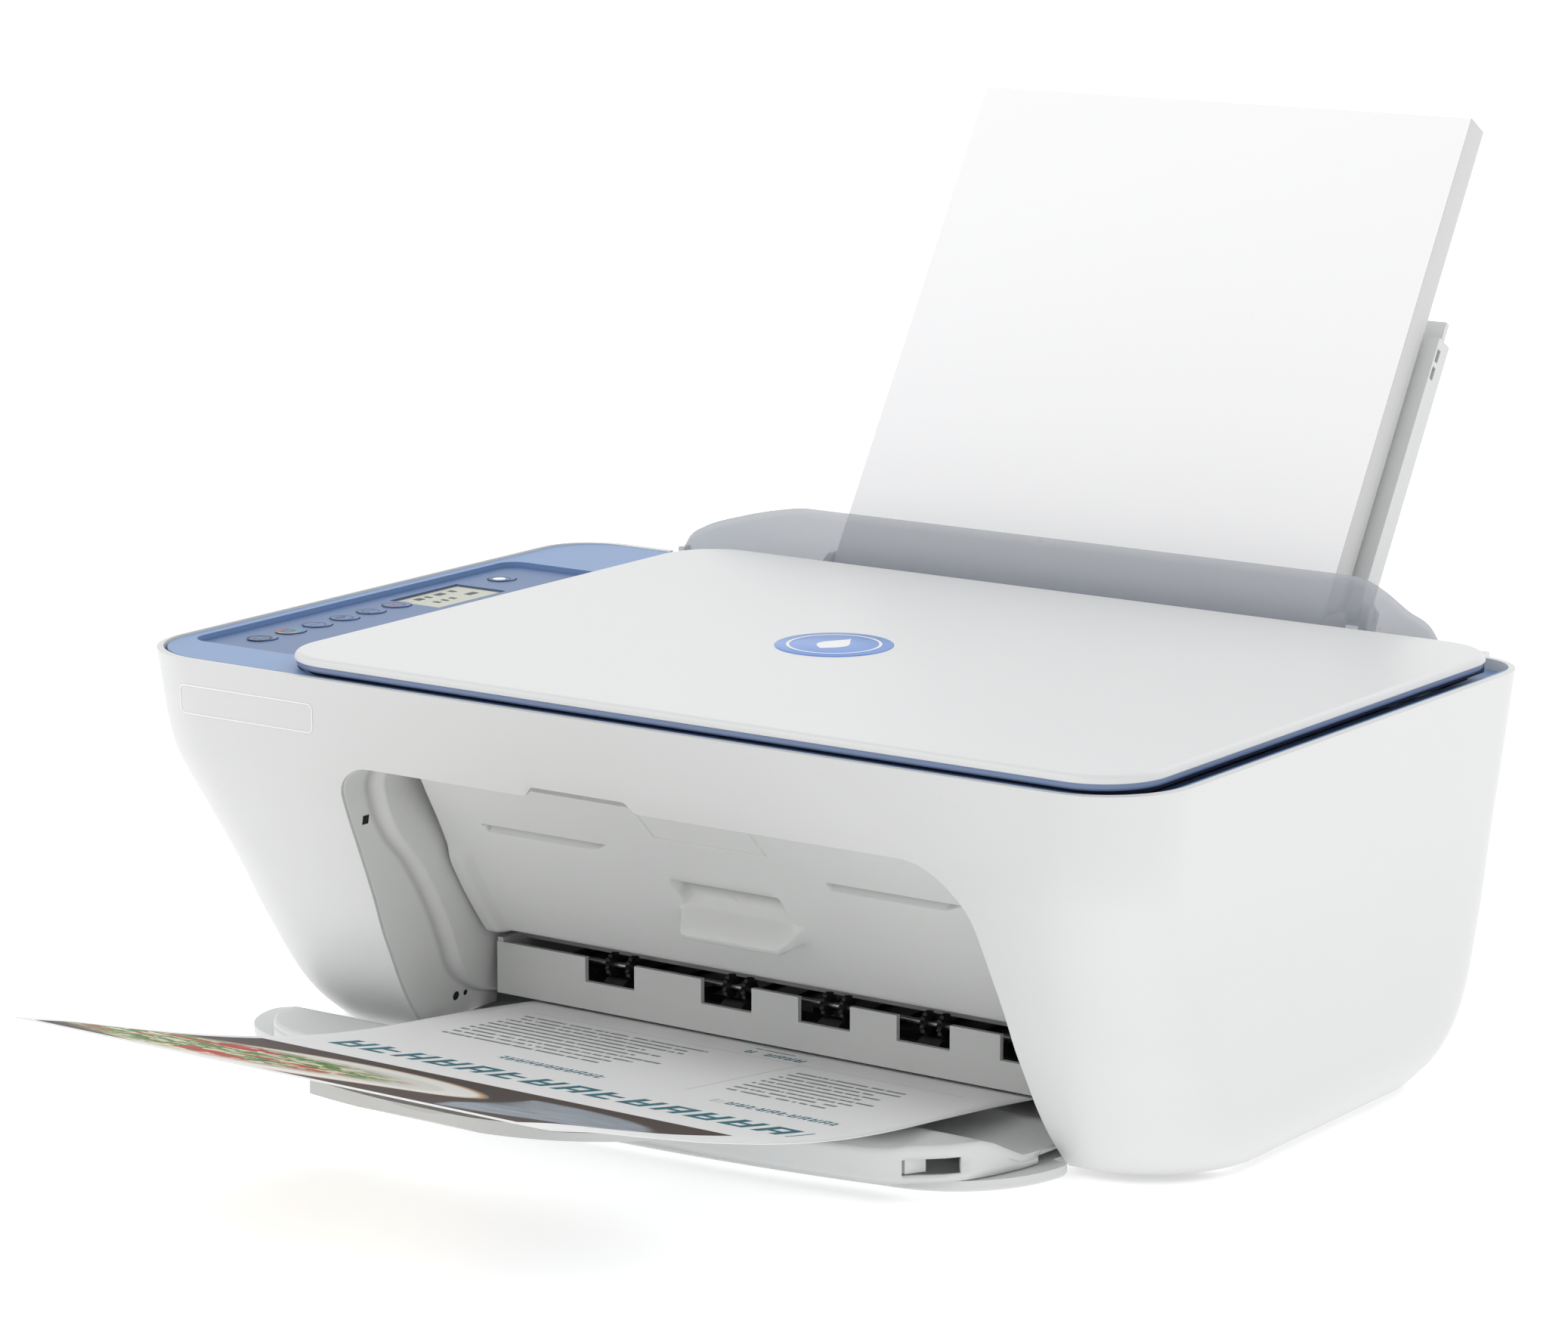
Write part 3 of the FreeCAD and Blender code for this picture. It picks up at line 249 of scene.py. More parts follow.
@dataclass(frozen=True)
class Plastic:
    """Moulded plastic with a fine spark-eroded grain and faint tone drift."""

    name: str
    color: tuple[float, float, float]
    roughness: float = 0.42
    grain: float = 0.35
    depth: float = 0.012
    drift: float = 0.03

    def build(self) -> bpy.types.Material:
        """Make the material."""
        graph = Graph(self.name)
        cloud = graph.noise(60.0, 3.0)
        pores = graph.noise(self.grain, 1.0)
        plain = graph.mix(shaded(self.color, 1.0 - self.drift), self.color, cloud)
        graph.surface(
            Base_Color=self.tint(graph, plain),
            Roughness=cloud * 0.06 + (self.roughness - 0.03) + pores * 0.04,
            Normal=graph.bump(pores, self.depth),
        )
        return graph.material

    def tint(self, graph: Graph, plain: bpy.types.NodeSocket) -> bpy.types.NodeSocket:
        """Base colour, left as it is."""
        return plain


@dataclass(frozen=True)
class Moulded(Plastic):
    """Moulded plastic with painted shade: its first UV channel says how far a point lies in a hollow."""

    # How much darker the base colour is painted where the painted shade is deepest.
    hollow: float = 0.62

    def tint(self, graph: Graph, plain: bpy.types.NodeSocket) -> bpy.types.NodeSocket:
        """Base colour with painted shade, darker in the hollows."""
        painted_shade, _ = graph.across()
        return graph.mix(plain, shaded(self.color, 1.0 - self.hollow), painted_shade)


@dataclass(frozen=True)
class Metal:
    """Drawn metal with fine streaks along X."""

    name: str
    color: tuple[float, float, float]
    roughness: float = 0.3

    def build(self) -> bpy.types.Material:
        """Make the material."""
        graph = Graph(self.name)
        x, y, z = graph.place()
        streak = graph.noise(1.0, 2.0, graph.spot(x * 0.00002, y * 0.004, z * 0.004))
        dark = shaded(self.color, 0.85)
        graph.surface(
            Base_Color=graph.mix(dark, self.color, streak),
            Metallic=1.0,
            Roughness=streak * 0.12 + self.roughness,
            Normal=graph.bump(streak, 0.01),
        )
        return graph.material


@dataclass(frozen=True)
class Rubber:
    """Matt rubber with a dusty bloom."""

    name: str
    color: tuple[float, float, float]

    def build(self) -> bpy.types.Material:
        """Make the material."""
        graph = Graph(self.name)
        bloom = graph.noise(4.0, 4.0)
        pores = graph.noise(0.4, 1.0)
        light = tuple(channel + 0.03 for channel in self.color)
        graph.surface(
            Base_Color=graph.mix(self.color, light, bloom),
            Roughness=bloom * 0.15 + 0.7,
            Normal=graph.bump(pores, 0.03),
        )
        return graph.material


@dataclass(frozen=True)
class Smoke:
    """Tinted see-through plastic."""

    name: str
    color: tuple[float, float, float]
    alpha: float
    roughness: float = 0.25

    def build(self) -> bpy.types.Material:
        """Make the material."""
        graph = Graph(self.name)
        cloud = graph.noise(30.0, 2.0)
        pores = graph.noise(0.5, 1.0)
        dark = shaded(self.color, 0.94)
        graph.surface(
            Base_Color=graph.mix(dark, self.color, cloud),
            Roughness=cloud * 0.08 + self.roughness,
            Alpha=cloud * 0.04 + self.alpha,
            Normal=graph.bump(pores, 0.008),
        )
        return graph.material


@dataclass(frozen=True)
class PaperStackFinish:
    """A pile of sheets: fibre on the faces, fine layer lines and painted shade on the edges, told apart by
    the piece's UV.
    """

    name: str
    color: tuple[float, float, float]

    def build(self) -> bpy.types.Material:
        """Make the material."""
        graph = Graph(self.name)
        through, side = graph.across()
        layer = graph.noise(1.0, 1.0, graph.spot(through * 0.09, 0.3, 0.7))
        fibre = graph.noise(1.0, 3.0)
        # Painted shade: the sides and ends take the paper's colour darkened to 0.56–0.70, the layer lines
        # choosing between the two.
        on_shaded_edge = side.ramp(0.5, 0.6)
        edge = graph.mix(shaded(self.color, 0.56), shaded(self.color, 0.70), layer.ramp(0.35, 0.6))
        face = graph.mix(shaded(self.color, 0.98), self.color, fibre)
        graph.surface(
            Base_Color=graph.mix(face, edge, on_shaded_edge),
            Roughness=fibre * 0.1 + 0.75,
            Normal=graph.bump(fibre, 0.01),
        )
        return graph.material


@dataclass(frozen=True)
class PrintedPaper:
    """A printed page: a generic still life on its free end, a heading and greeked columns behind it."""

    name: str
    paper: tuple[float, float, float] = (0.90, 0.90, 0.90)
    ink: tuple[float, float, float] = (0.03, 0.04, 0.05)
    teal: tuple[float, float, float] = (0.01, 0.14, 0.19)
    width: float = 215.9
    length: float = 279.4
    columns: tuple = (((18.0, 122.0, 33.0, 82.0), 5.2), ((140.0, 202.0, 36.0, 84.0), 5.2),
                      ((104.0, 130.0, 8.0, 13.0), 5.0))
    headings: tuple = (((12.0, 206.0, 122.0, 139.0), 13.6), ((60.0, 104.0, 98.0, 103.5), 4.2),
                       ((150.0, 200.0, 98.0, 103.5), 4.2), ((104.0, 130.0, 17.0, 22.0), 4.2))

    def bars(self, graph: Graph, x: Value, y: Value, box: Box, pitch: float) -> Value:
        """Greeked text lines in a box.

        Args:
            graph: the material.
            x: millimetres across the page.
            y: millimetres along the page.
            box: left, right, start and end of the box.
            pitch: distance from line to line.

        Returns:
            One on ink, nothing on paper.
        """
        left, right, low, high = box
        row = (y / pitch).floor()
        line = ((y / pitch).part() - 0.5).inside(0.17, 0.05)
        ragged = graph.noise(1.0, 0.0, graph.spot(row * 0.0137, 0.31, 0.0)) * 0.55 + 0.45
        words = graph.noise(1.0, 1.0, graph.spot(x * 0.0006, row * 0.0071, 0.5)).ramp(0.36, 0.42)
        begins = (x - left).ramp(0.0, 0.3)
        ends = (x - (ragged * (right - left) + left)).ramp(0.0, 0.4, 1.0, 0.0)
        inside = (y - (low + high) / 2.0).inside((high - low) / 2.0, 0.2)
        return line * words * begins * ends * inside

    def blob(self, x: Value, y: Value, at: tuple[float, float], size: tuple[float, float],
             soft: float) -> Value:
        """Soft ellipse at a spot on the page."""
        across = (x - at[0]) / size[0]
        along = (y - at[1]) / size[1]
        return (across * across + along * along).power(0.5).ramp(1.0 - soft, 1.0 + soft, 1.0, 0.0)

    def letters(self, graph: Graph, x: Value, y: Value, box: Box, pitch: float) -> Value:
        """A row of heavy invented letter shapes: posts, some with a bar and a bowl, cut by word gaps.

        Args:
            graph: the material.
            x: millimetres across the page.
            y: millimetres along the page.
            box: left, right, near and far side of the row.
            pitch: width of a letter.

        Returns:
            One on ink, nothing on paper.
        """
        left, right, low, high = box
        cell = (x / pitch).floor()
        part = (x / pitch).part()
        kind = graph.noise(1.0, 0.0, graph.spot(cell * 0.0173, 0.11, 0.0))
        rise = (y - low) / (high - low)
        post = (part - 0.20).inside(0.12, 0.02)
        second = (part - 0.72).inside(0.11, 0.02) * kind.ramp(0.42, 0.44)
        middle = (part - 0.46).inside(0.34, 0.02)
        bar = (rise - (kind * 0.9 + 0.05)).inside(0.09, 0.02) * middle
        cap = (rise - 0.90).inside(0.10, 0.02) * middle * kind.ramp(0.5, 0.52, 1.0, 0.0)
        foot = (rise - 0.10).inside(0.10, 0.02) * middle * kind.ramp(0.54, 0.56)
        gap = graph.noise(1.0, 0.0, graph.spot(cell * 0.0091, 0.77, 0.0)).ramp(0.36, 0.38)
        inside = (rise - 0.5).inside(0.5, 0.02) * (x - (left + right) / 2.0).inside((right - left) / 2.0, 0.5)
        return post.most(second).most(bar).most(cap).most(foot) * gap * inside

    def cloth(self, graph: Graph, x: Value, y: Value, wood: Tint) -> Tint:
        """Folded grey cloth laid over the wood, cut off along a slanted hem."""
        weave = graph.noise(1.2, 1.0)
        fold = graph.noise(14.0, 2.0, graph.spot(x * MM, y * MM, 0.4))
        hem = (x - y * 0.35 - 70.0).ramp(0.0, 3.0)
        linen = graph.mix((0.10, 0.13, 0.17), (0.46, 0.50, 0.55), fold * 0.7 + weave * 0.3)
        return graph.mix(wood, linen, self.blob(x, y, (150.0, 226.0), (54.0, 50.0), 0.05) * hem)

    def salad(self, graph: Graph, x: Value, y: Value, plate: Tint) -> Tint:
        """Dressing, leaves, red fruit and crumbs, each from its own noise, inside one soft ellipse."""
        def lumps(grain: float, detail: float, layer: float) -> Value:
            """Noise over the page at a layer of its own."""
            return graph.noise(grain, detail, graph.spot(x * MM, y * MM, layer))

        heap = self.blob(x, y, (52.0, 232.0), (58.0, 38.0), 0.22)
        vein = lumps(3.0, 2.0, 0.6)
        green = graph.mix((0.012, 0.055, 0.010), (0.20, 0.36, 0.05), vein.ramp(0.3, 0.7))
        red = graph.mix((0.62, 0.035, 0.02), (0.30, 0.01, 0.01), vein)
        color = graph.mix(plate, (0.60, 0.56, 0.38), heap * 0.85)
        color = graph.mix(color, green, heap * lumps(11.0, 4.0, 0.0).ramp(0.44, 0.48))
        color = graph.mix(color, red, heap * lumps(16.0, 0.0, 0.07).ramp(0.60, 0.62))
        return graph.mix(color, (0.84, 0.78, 0.58), heap * lumps(6.0, 1.0, 0.19).ramp(0.62, 0.65))

    def picture(self, graph: Graph, x: Value, y: Value) -> Tint:
        """Still life: wood, cloth, and a plate made of ellipses, from its shadow up to its well."""
        grain = graph.noise(1.0, 4.0, graph.spot(x * 0.0001, y * 0.0014, 0.0))
        color = graph.mix((0.022, 0.012, 0.009), (0.075, 0.042, 0.030), grain)
        color = self.cloth(graph, x, y, color)
        for at, size, soft, tone, share in (
            ((80.0, 226.0), (72.0, 56.0), 0.12, (0.030, 0.022, 0.020), 0.7),
            ((74.0, 228.0), (68.0, 54.0), 0.012, (0.30, 0.22, 0.16), 1.0),
            ((74.0, 228.0), (66.5, 52.5), 0.012, (0.62, 0.36, 0.16), 1.0),
            ((74.0, 228.0), (65.0, 51.0), 0.02, (0.80, 0.79, 0.76), 1.0),
            ((74.0, 229.0), (54.0, 41.0), 0.03, (0.66, 0.65, 0.61), 0.8),
        ):
            color = graph.mix(color, tone, self.blob(x, y, at, size, soft) * share)
        return self.salad(graph, x, y, color)

    def build(self) -> bpy.types.Material:
        """Make the material."""
        graph = Graph(self.name)
        u, v = graph.across()
        x, y = u * self.width, v * self.length
        page = graph.mix(shaded(self.paper, 0.97), self.paper, graph.noise(0.8, 3.0))
        framed = (x - 103.0).inside(98.0, 0.3) * (y - 218.5).inside(57.0, 0.3)
        color = graph.mix(page, self.picture(graph, x, y), framed)
        text = [self.bars(graph, x, y, box, pitch) for box, pitch in self.columns]
        letters = [self.letters(graph, x, y, box, pitch) for box, pitch in self.headings]
        rule = (y - 26.0).inside(0.25, 0.1) * (x - 108.0).inside(92.0, 0.3)
        rule = rule.most((x - 133.0).inside(0.25, 0.1) * (y - 60.0).inside(34.0, 0.3))
        color = graph.mix(color, (0.45, 0.46, 0.47), rule * 0.6)
        color = graph.mix(color, self.ink, reduce(Value.most, text) * 0.8)
        color = graph.mix(color, self.teal, reduce(Value.most, letters))
        fibre = graph.noise(0.8, 2.0)
        graph.surface(Base_Color=color, Roughness=fibre * 0.1 + 0.55, Normal=graph.bump(fibre, 0.01))
        return graph.material


class Finish(Enum):
    """Every finish of the printer."""

    SHELL = Plastic("shell_white", (0.69, 0.70, 0.695), 0.40, 0.7, 0.022)
    LID = Plastic("lid_white", (0.72, 0.725, 0.73), 0.36, 0.5, 0.012)
    INNER = Plastic("inner_white", (0.70, 0.71, 0.70), 0.48)
    MOULDED = Moulded("moulded_white", (0.82, 0.83, 0.82), 0.48)
    TRAY = Plastic("tray_white", (0.66, 0.67, 0.67), 0.45)
    BEZEL = Plastic("bezel_blue", (0.20, 0.32, 0.56), 0.42, 0.4, 0.008, 0.06)
    PANEL = Plastic("panel_blue", (0.11, 0.19, 0.37), 0.42, 0.4, 0.008, 0.06)
    RIM = Plastic("rim_steel_blue", (0.19, 0.26, 0.43), 0.36, 0.4, 0.006, 0.05)
    LINER = Plastic("liner_blue", (0.010, 0.020, 0.060), 0.4, 0.4, 0.008, 0.06)
    BLACK = Plastic("black_plastic", (0.015, 0.015, 0.016), 0.4)
    GREY = Plastic("grey_plastic", (0.16, 0.165, 0.17), 0.45)
    BOARD = Plastic("board_green", (0.02, 0.14, 0.06), 0.4)
    FOAM = Plastic("pad_foam", (0.78, 0.78, 0.78), 0.85, 0.8, 0.08)
    BADGE = Plastic("badge_blue", (0.12, 0.27, 0.66), 0.3, 0.3, 0.002)
    MARK = Plastic("mark_white", (0.82, 0.83, 0.84), 0.35, 0.3, 0.002)
    EDGE = Plastic("edge_light", (0.93, 0.93, 0.93), 0.4, 0.3, 0.002)
    CYAN = Plastic("print_cyan", (0.02, 0.50, 0.75), 0.4, 0.3, 0.002)
    TEAL = Plastic("print_teal", (0.02, 0.33, 0.36), 0.4, 0.3, 0.002)
    RED = Plastic("print_red", (0.50, 0.05, 0.06), 0.4, 0.3, 0.002)
    YELLOW = Plastic("print_yellow", (0.65, 0.42, 0.05), 0.4, 0.3, 0.002)
    GLOW = Plastic("lamp_white", (0.95, 0.97, 1.0), 0.3, 0.3, 0.002)
    HOLE = Plastic("hole_black", (0.006, 0.006, 0.006), 0.8)
    INK = Plastic("print_dark", (0.05, 0.06, 0.08), 0.5, 0.3, 0.002)
    SMOKE = Smoke("shield_smoke", (0.50, 0.52, 0.56), 0.56)
    GLASS = Smoke("scan_glass", (0.55, 0.62, 0.62), 0.30, 0.05)
    LCD = Smoke("lcd", (0.40, 0.42, 0.31), 0.95, 0.15)
    FILM = Smoke("clear_film", (0.5, 0.5, 0.5), 0.5)
    STEEL = Metal("steel", (0.55, 0.56, 0.57))
    RUBBER_BLACK = Rubber("rubber_black", (0.02, 0.02, 0.02))
    RUBBER_GREY = Rubber("rubber_grey", (0.16, 0.16, 0.165))
    STACK = PaperStackFinish("paper_white", (0.96, 0.96, 0.965))
    PRINT = PrintedPaper("paper_print")

    def material(self) -> bpy.types.Material:
        """Make the finish's material once, then hand out the same one."""
        known = bpy.data.materials.get(self.value.name)
        return known if known is not None and known.get("made_here") else self._make()

    def _make(self) -> bpy.types.Material:
        """Build the material and mark it."""
        for old in [m for m in bpy.data.materials if m.name == self.value.name]:
            old.name = old.name + "_cad"
        made = self.value.build()
        made["made_here"] = True
        return made


NODES_IN = {
    Finish.SHELL: "outer_shell rear_housing",
    Finish.TRAY: "front_chin input_tray tray_extension output_tray tray_extender",
    Finish.INNER: "base_pan scanner_tub guide_left guide_right paper_rest paper_stop exit_rail cheek_left "
                  "cheek_right access_door tray_latch",
    Finish.BEZEL: "top_bezel",
    Finish.PANEL: "control_panel",
    Finish.LCD: "display_window",
    Finish.GLASS: "scanner_glass",
    Finish.LID: "lid_cover",
    Finish.LINER: "lid_liner",
    Finish.FOAM: "lid_pad",
    Finish.BADGE: "lid_badge",
    Finish.SMOKE: "shield_flap",
    Finish.STACK: "paper_stack",
    Finish.PRINT: "printed_sheet",
    Finish.FILM: "encoder_strip",
    Finish.BOARD: "main_board",
    Finish.GREY: "carriage",
    Finish.BLACK: "scan_bar pick_shaft platen exit_shaft star_wheels cartridge_black cartridge_color "
                  "motor_pulley idler_pulley power_inlet",
    Finish.STEEL: "scan_rail feed_shaft star_shaft carriage_rail carriage_motor usb_port",
    Finish.RUBBER_GREY: "rubber_feet pick_tyres",
    Finish.RUBBER_BLACK: "feed_tyres exit_tyres drive_belt",
}
NODE_FINISH = {node: finish for finish, nodes in NODES_IN.items() for node in nodes.split()}


# ------------------------------------------------------------------------------------ mesh helpers
def smooth_curve(knots: Sequence[tuple[float, float]]) -> Callable[[Points], Points]:
    """Monotone cubic through knots (position, value), after Fritsch and Carlson.

    Args:
        knots: positions in rising order with their values.

    Returns:
        A function from positions to values, flat outside the knots.
    """
    xs, ys = np.array(knots, float).T
    steps = np.diff(xs)
    slopes = np.diff(ys) / steps
    tangents = np.concatenate([[slopes[0]], (slopes[:-1] + slopes[1:]) / 2.0, [slopes[-1]]])
    turning = np.concatenate([[False], slopes[:-1] * slopes[1:] <= 0.0, [False]])
    tangents[turning] = 0.0
    limit = 3.0 * np.minimum(np.abs(np.append(slopes, slopes[-1])), np.abs(np.insert(slopes, 0, slopes[0])))
    tangents = np.clip(tangents, -limit, limit)

    def curve(where: Points) -> Points:
        """Evaluate the curve."""
        where = np.clip(np.asarray(where, float), xs[0], xs[-1])
        i = np.clip(np.searchsorted(xs, where) - 1, 0, len(steps) - 1)
        t = (where - xs[i]) / steps[i]
        first = ys[i] * (1 + 2 * t) * (1 - t) ** 2 + ys[i + 1] * t * t * (3 - 2 * t)
        return first + steps[i] * (tangents[i] * t * (1 - t) ** 2 - tangents[i + 1] * t * t * (1 - t))
    return curve


def step(value: Points, low: float, high: float) -> Points:
    """Smooth step from nothing at low to one at high."""
    t = np.clip((value - low) / (high - low), 0.0, 1.0)
    return t * t * (3.0 - 2.0 * t)


def window(value: Points, rise: tuple[float, float], fall: tuple[float, float]) -> Points:
    """One between a rising and a falling smooth step, each given by where it starts and ends."""
    return step(value, *rise) * (1.0 - step(value, *fall))


def line_of(distance: Points, half: float = 0.35) -> Points:
    """One on a fine line, falling to nothing beside it."""
    return 1.0 - step(np.abs(distance), half * 0.5, half * 1.6)


def crowded(low: float, high: float, count: int, marks: Sequence[float], width: float,
            boost: float = 6.0) -> Points:
    """Positions from low to high that crowd round the marks.

    Args:
        low: first position.
        high: last position.
        count: number of positions.
        marks: where they crowd.
        width: how far round each mark.
        boost: how much closer they stand there.

    Returns:
        Rising positions.
    """
    fine = np.linspace(low, high, 4001)
    weight = 1.0 + boost * np.exp(-((fine[:, None] - np.array(marks)[None, :]) / width) ** 2).sum(1)
    total = np.concatenate([[0.0], np.cumsum((weight[1:] + weight[:-1]) / 2.0)])
    return np.interp(np.linspace(0.0, total[-1], count), total, fine)


def quads(rows: int, columns: int, start: int = 0, loop: bool = False) -> Points:
    """Faces of a grid of points stored row by row.

    Args:
        rows: points along the first parameter.
        columns: points along the second parameter.
        start: index of the first point.
        loop: whether the last column joins the first.

    Returns:
        Array of four point numbers for each face.
    """
    row, column = np.meshgrid(np.arange(rows - 1), np.arange(columns if loop else columns - 1), indexing="ij")
    here, after = row * columns + column, row * columns + (column + 1) % columns
    return np.stack([here, after, after + columns, here + columns], -1).reshape(-1, 4) + start


def new_piece(name: str, points: Points, faces: Sequence, finish: Finish, body: str,
              replaces: Sequence[str] = (), uv: Points | None = None) -> bpy.types.Object:
    """Make a piece from points in the drawing frame.

    Args:
        name: name of the piece.
        points: millimetres, one row per point.
        faces: point numbers of each face.
        finish: its finish.
        body: the body it rides on.
        replaces: nodes it stands for.
        uv: one pair per point, if the finish reads it.

    Returns:
        The object.
    """
    mesh = bpy.data.meshes.new(name)
    placed = np.asarray(points, float).reshape(-1, 3) * MM + np.array([0.0, SHIFT_Y, 0.0])
    mesh.from_pydata(placed.tolist(), [], [list(map(int, face)) for face in faces])
    if uv is not None:
        layer = mesh.uv_layers.new(name="UVMap")
        numbers = np.empty(len(mesh.loops), np.int32)
        mesh.loops.foreach_get("vertex_index", numbers)
        layer.data.foreach_set("uv", np.asarray(uv, np.float32)[numbers].ravel())
    mesh.polygons.foreach_set("use_smooth", [True] * len(mesh.polygons))
    mesh.materials.append(finish.material())
    mesh.update()
    piece = bpy.data.objects.new(name, mesh)
    bpy.context.collection.objects.link(piece)
    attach(piece, body)
    if replaces:
        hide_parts(*replaces)
    LOG.info("%s: %d faces", name, len(mesh.polygons))
    return piece


def add_modifier(piece: bpy.types.Object, kind: str, **settings: object) -> bpy.types.Modifier:
    """Add a modifier with its settings."""
    made = piece.modifiers.new(kind.title(), kind)
    for key, value in settings.items():
        setattr(made, key, value)
    return made


def harden(piece: bpy.types.Object, angle: float = 35.0) -> None:
    """Mark edges sharper than an angle so that flats stay flat beside them."""
    piece.data.set_sharp_from_angle(angle=math.radians(angle))


def thicken(piece: bpy.types.Object, wall: float, edge: float = 0.0, side: float = -1.0,
            even: bool = True) -> None:
    """Give a surface its wall, and round the edges the wall makes.

    Args:
        piece: the surface.
        wall: thickness in millimetres.
        edge: radius of the rounding, none when nothing.
        side: minus one to grow inwards, one to grow outwards.
        even: whether the wall keeps its thickness round bends.
    """
    add_modifier(piece, "SOLIDIFY", thickness=wall * MM, offset=side, use_even_offset=even)
    if edge:
        add_modifier(piece, "BEVEL", width=edge * MM, segments=3, limit_method="ANGLE",
                     angle_limit=math.radians(50.0), harden_normals=True)


def merge(piece: bpy.types.Object, distance: float = 0.01) -> None:
    """Merge doubles and dissolve degenerate edges."""
    work = bmesh.new()
    work.from_mesh(piece.data)
    bmesh.ops.remove_doubles(work, verts=work.verts, dist=distance * MM)
    bmesh.ops.dissolve_degenerate(work, edges=work.edges, dist=0.001 * MM)
    work.to_mesh(piece.data)
    work.free()


def corner_arc(center: Points, radius: Points, begin: float, end: float, count: int) -> Points:
    """Arc points round a centre, from one angle to another in degrees; centre and radius may be columns."""
    turn = np.radians(np.linspace(begin, end, count))
    radius = np.asarray(radius, float)[..., None]
    return np.stack([center[..., 0:1] + radius * np.cos(turn), center[..., 1:2] + radius * np.sin(turn)], -1)


def rounded_outline(left: float, right: float, front: float, back: float, radii: Sequence[float],
                    count: int = 10) -> Points:
    """Outline of a rectangle with rounded corners, anticlockwise from the front-left corner.

    Args:
        left: lowest X.
        right: highest X.
        front: lowest Y.
        back: highest Y.
        radii: front-left, front-right, back-right, back-left corner radius.
        count: points on each corner.

    Returns:
        Outline points, one row each.
    """
    fl, fr, br, bl = (max(radius, 1e-3) for radius in radii)
    centers = np.array([[left + fl, front + fl], [right - fr, front + fr],
                        [right - br, back - br], [left + bl, back - bl]])
    arcs = [corner_arc(centers[i], np.array(radius), 180.0 + 90.0 * i, 270.0 + 90.0 * i, count)
            for i, radius in enumerate((fl, fr, br, bl))]
    return np.concatenate(arcs)


def slab(sides: Sequence[float], radii: Sequence[float], profile: Sequence[tuple[float, float]],
         count: int = 12) -> tuple[Points, list]:
    """A rounded plate whose edge follows a profile.

    Each ring is the outline drawn in by the profile's inset and lifted to its height. The first and last
    rings are closed with one flat face.

    Args:
        sides: left, right, front, back.
        radii: the four corner radii, front-left first.
        profile: inset and height of each ring, from the underside to the top.
        count: points on each corner.

    Returns:
        Points and faces.
    """
    left, right, front, back = sides
    rings = []
    for inset, height in profile:
        ring = rounded_outline(left + inset, right - inset, front + inset, back - inset,
                               [radius - inset for radius in radii], count)
        rings.append(np.column_stack([ring, np.full(len(ring), height)]))
    points = np.concatenate(rings)
    around = len(rings[0])
    faces = quads(len(rings), around, loop=True).tolist()
    faces.append(list(range(around))[::-1])
    faces.append(list(range((len(rings) - 1) * around, len(rings) * around)))
    return points, faces


def round_profile(low: float, high: float, under: float, over: float,
                  flat: float = 24.0) -> list[tuple[float, float]]:
    """Edge profile with quarter rounds under and over: list of (inset, height)."""
    turn = np.radians(np.linspace(0.0, 90.0, 7))
    lower = [(flat, low)] + [(under * (1 - math.sin(a)), low + under * (1 - math.cos(a))) for a in turn]
    upper = [(over * (1 - math.cos(a)), high - over * (1 - math.sin(a))) for a in turn]
    return lower + upper + [(over + 1.0, high), (flat, high)]


def ribbon(path: Points, width: float, height: float, closed: bool = False) -> tuple[Points, Points]:
    """Flat strip along a path in the XY plane.

    Args:
        path: X and Y of its centre line.
        width: strip width.
        height: Z of the strip.
        closed: whether the path joins its start.

    Returns:
        Points and faces.
    """
    path = np.asarray(path, float)
    if closed:
        ahead, behind = np.roll(path, -1, 0), np.roll(path, 1, 0)
    else:
        ahead, behind = np.vstack([path[1:], path[-1:]]), np.vstack([path[:1], path[:-1]])
    run = ahead - behind
    run /= np.linalg.norm(run, axis=1, keepdims=True)
    side = np.column_stack([-run[:, 1], run[:, 0]]) * width / 2.0
    flat = np.stack([path + side, path - side], 1).reshape(-1, 2)
    points = np.column_stack([flat, np.full(len(flat), height)])
    faces = quads(len(path), 2)
    if closed:
        last = 2 * (len(path) - 1)
        faces = np.vstack([faces, [last, last + 1, 1, 0]])
    return points, faces


def circle(x: float, y: float, radius: float, begin: float = 0.0, end: float = 360.0,
           count: int = 40) -> Points:
    """Points of a circle or of a part of one."""
    turn = np.radians(np.linspace(begin, end, count, endpoint=abs(end - begin) < 360.0))
    return np.column_stack([x + radius * np.cos(turn), y + radius * np.sin(turn)])


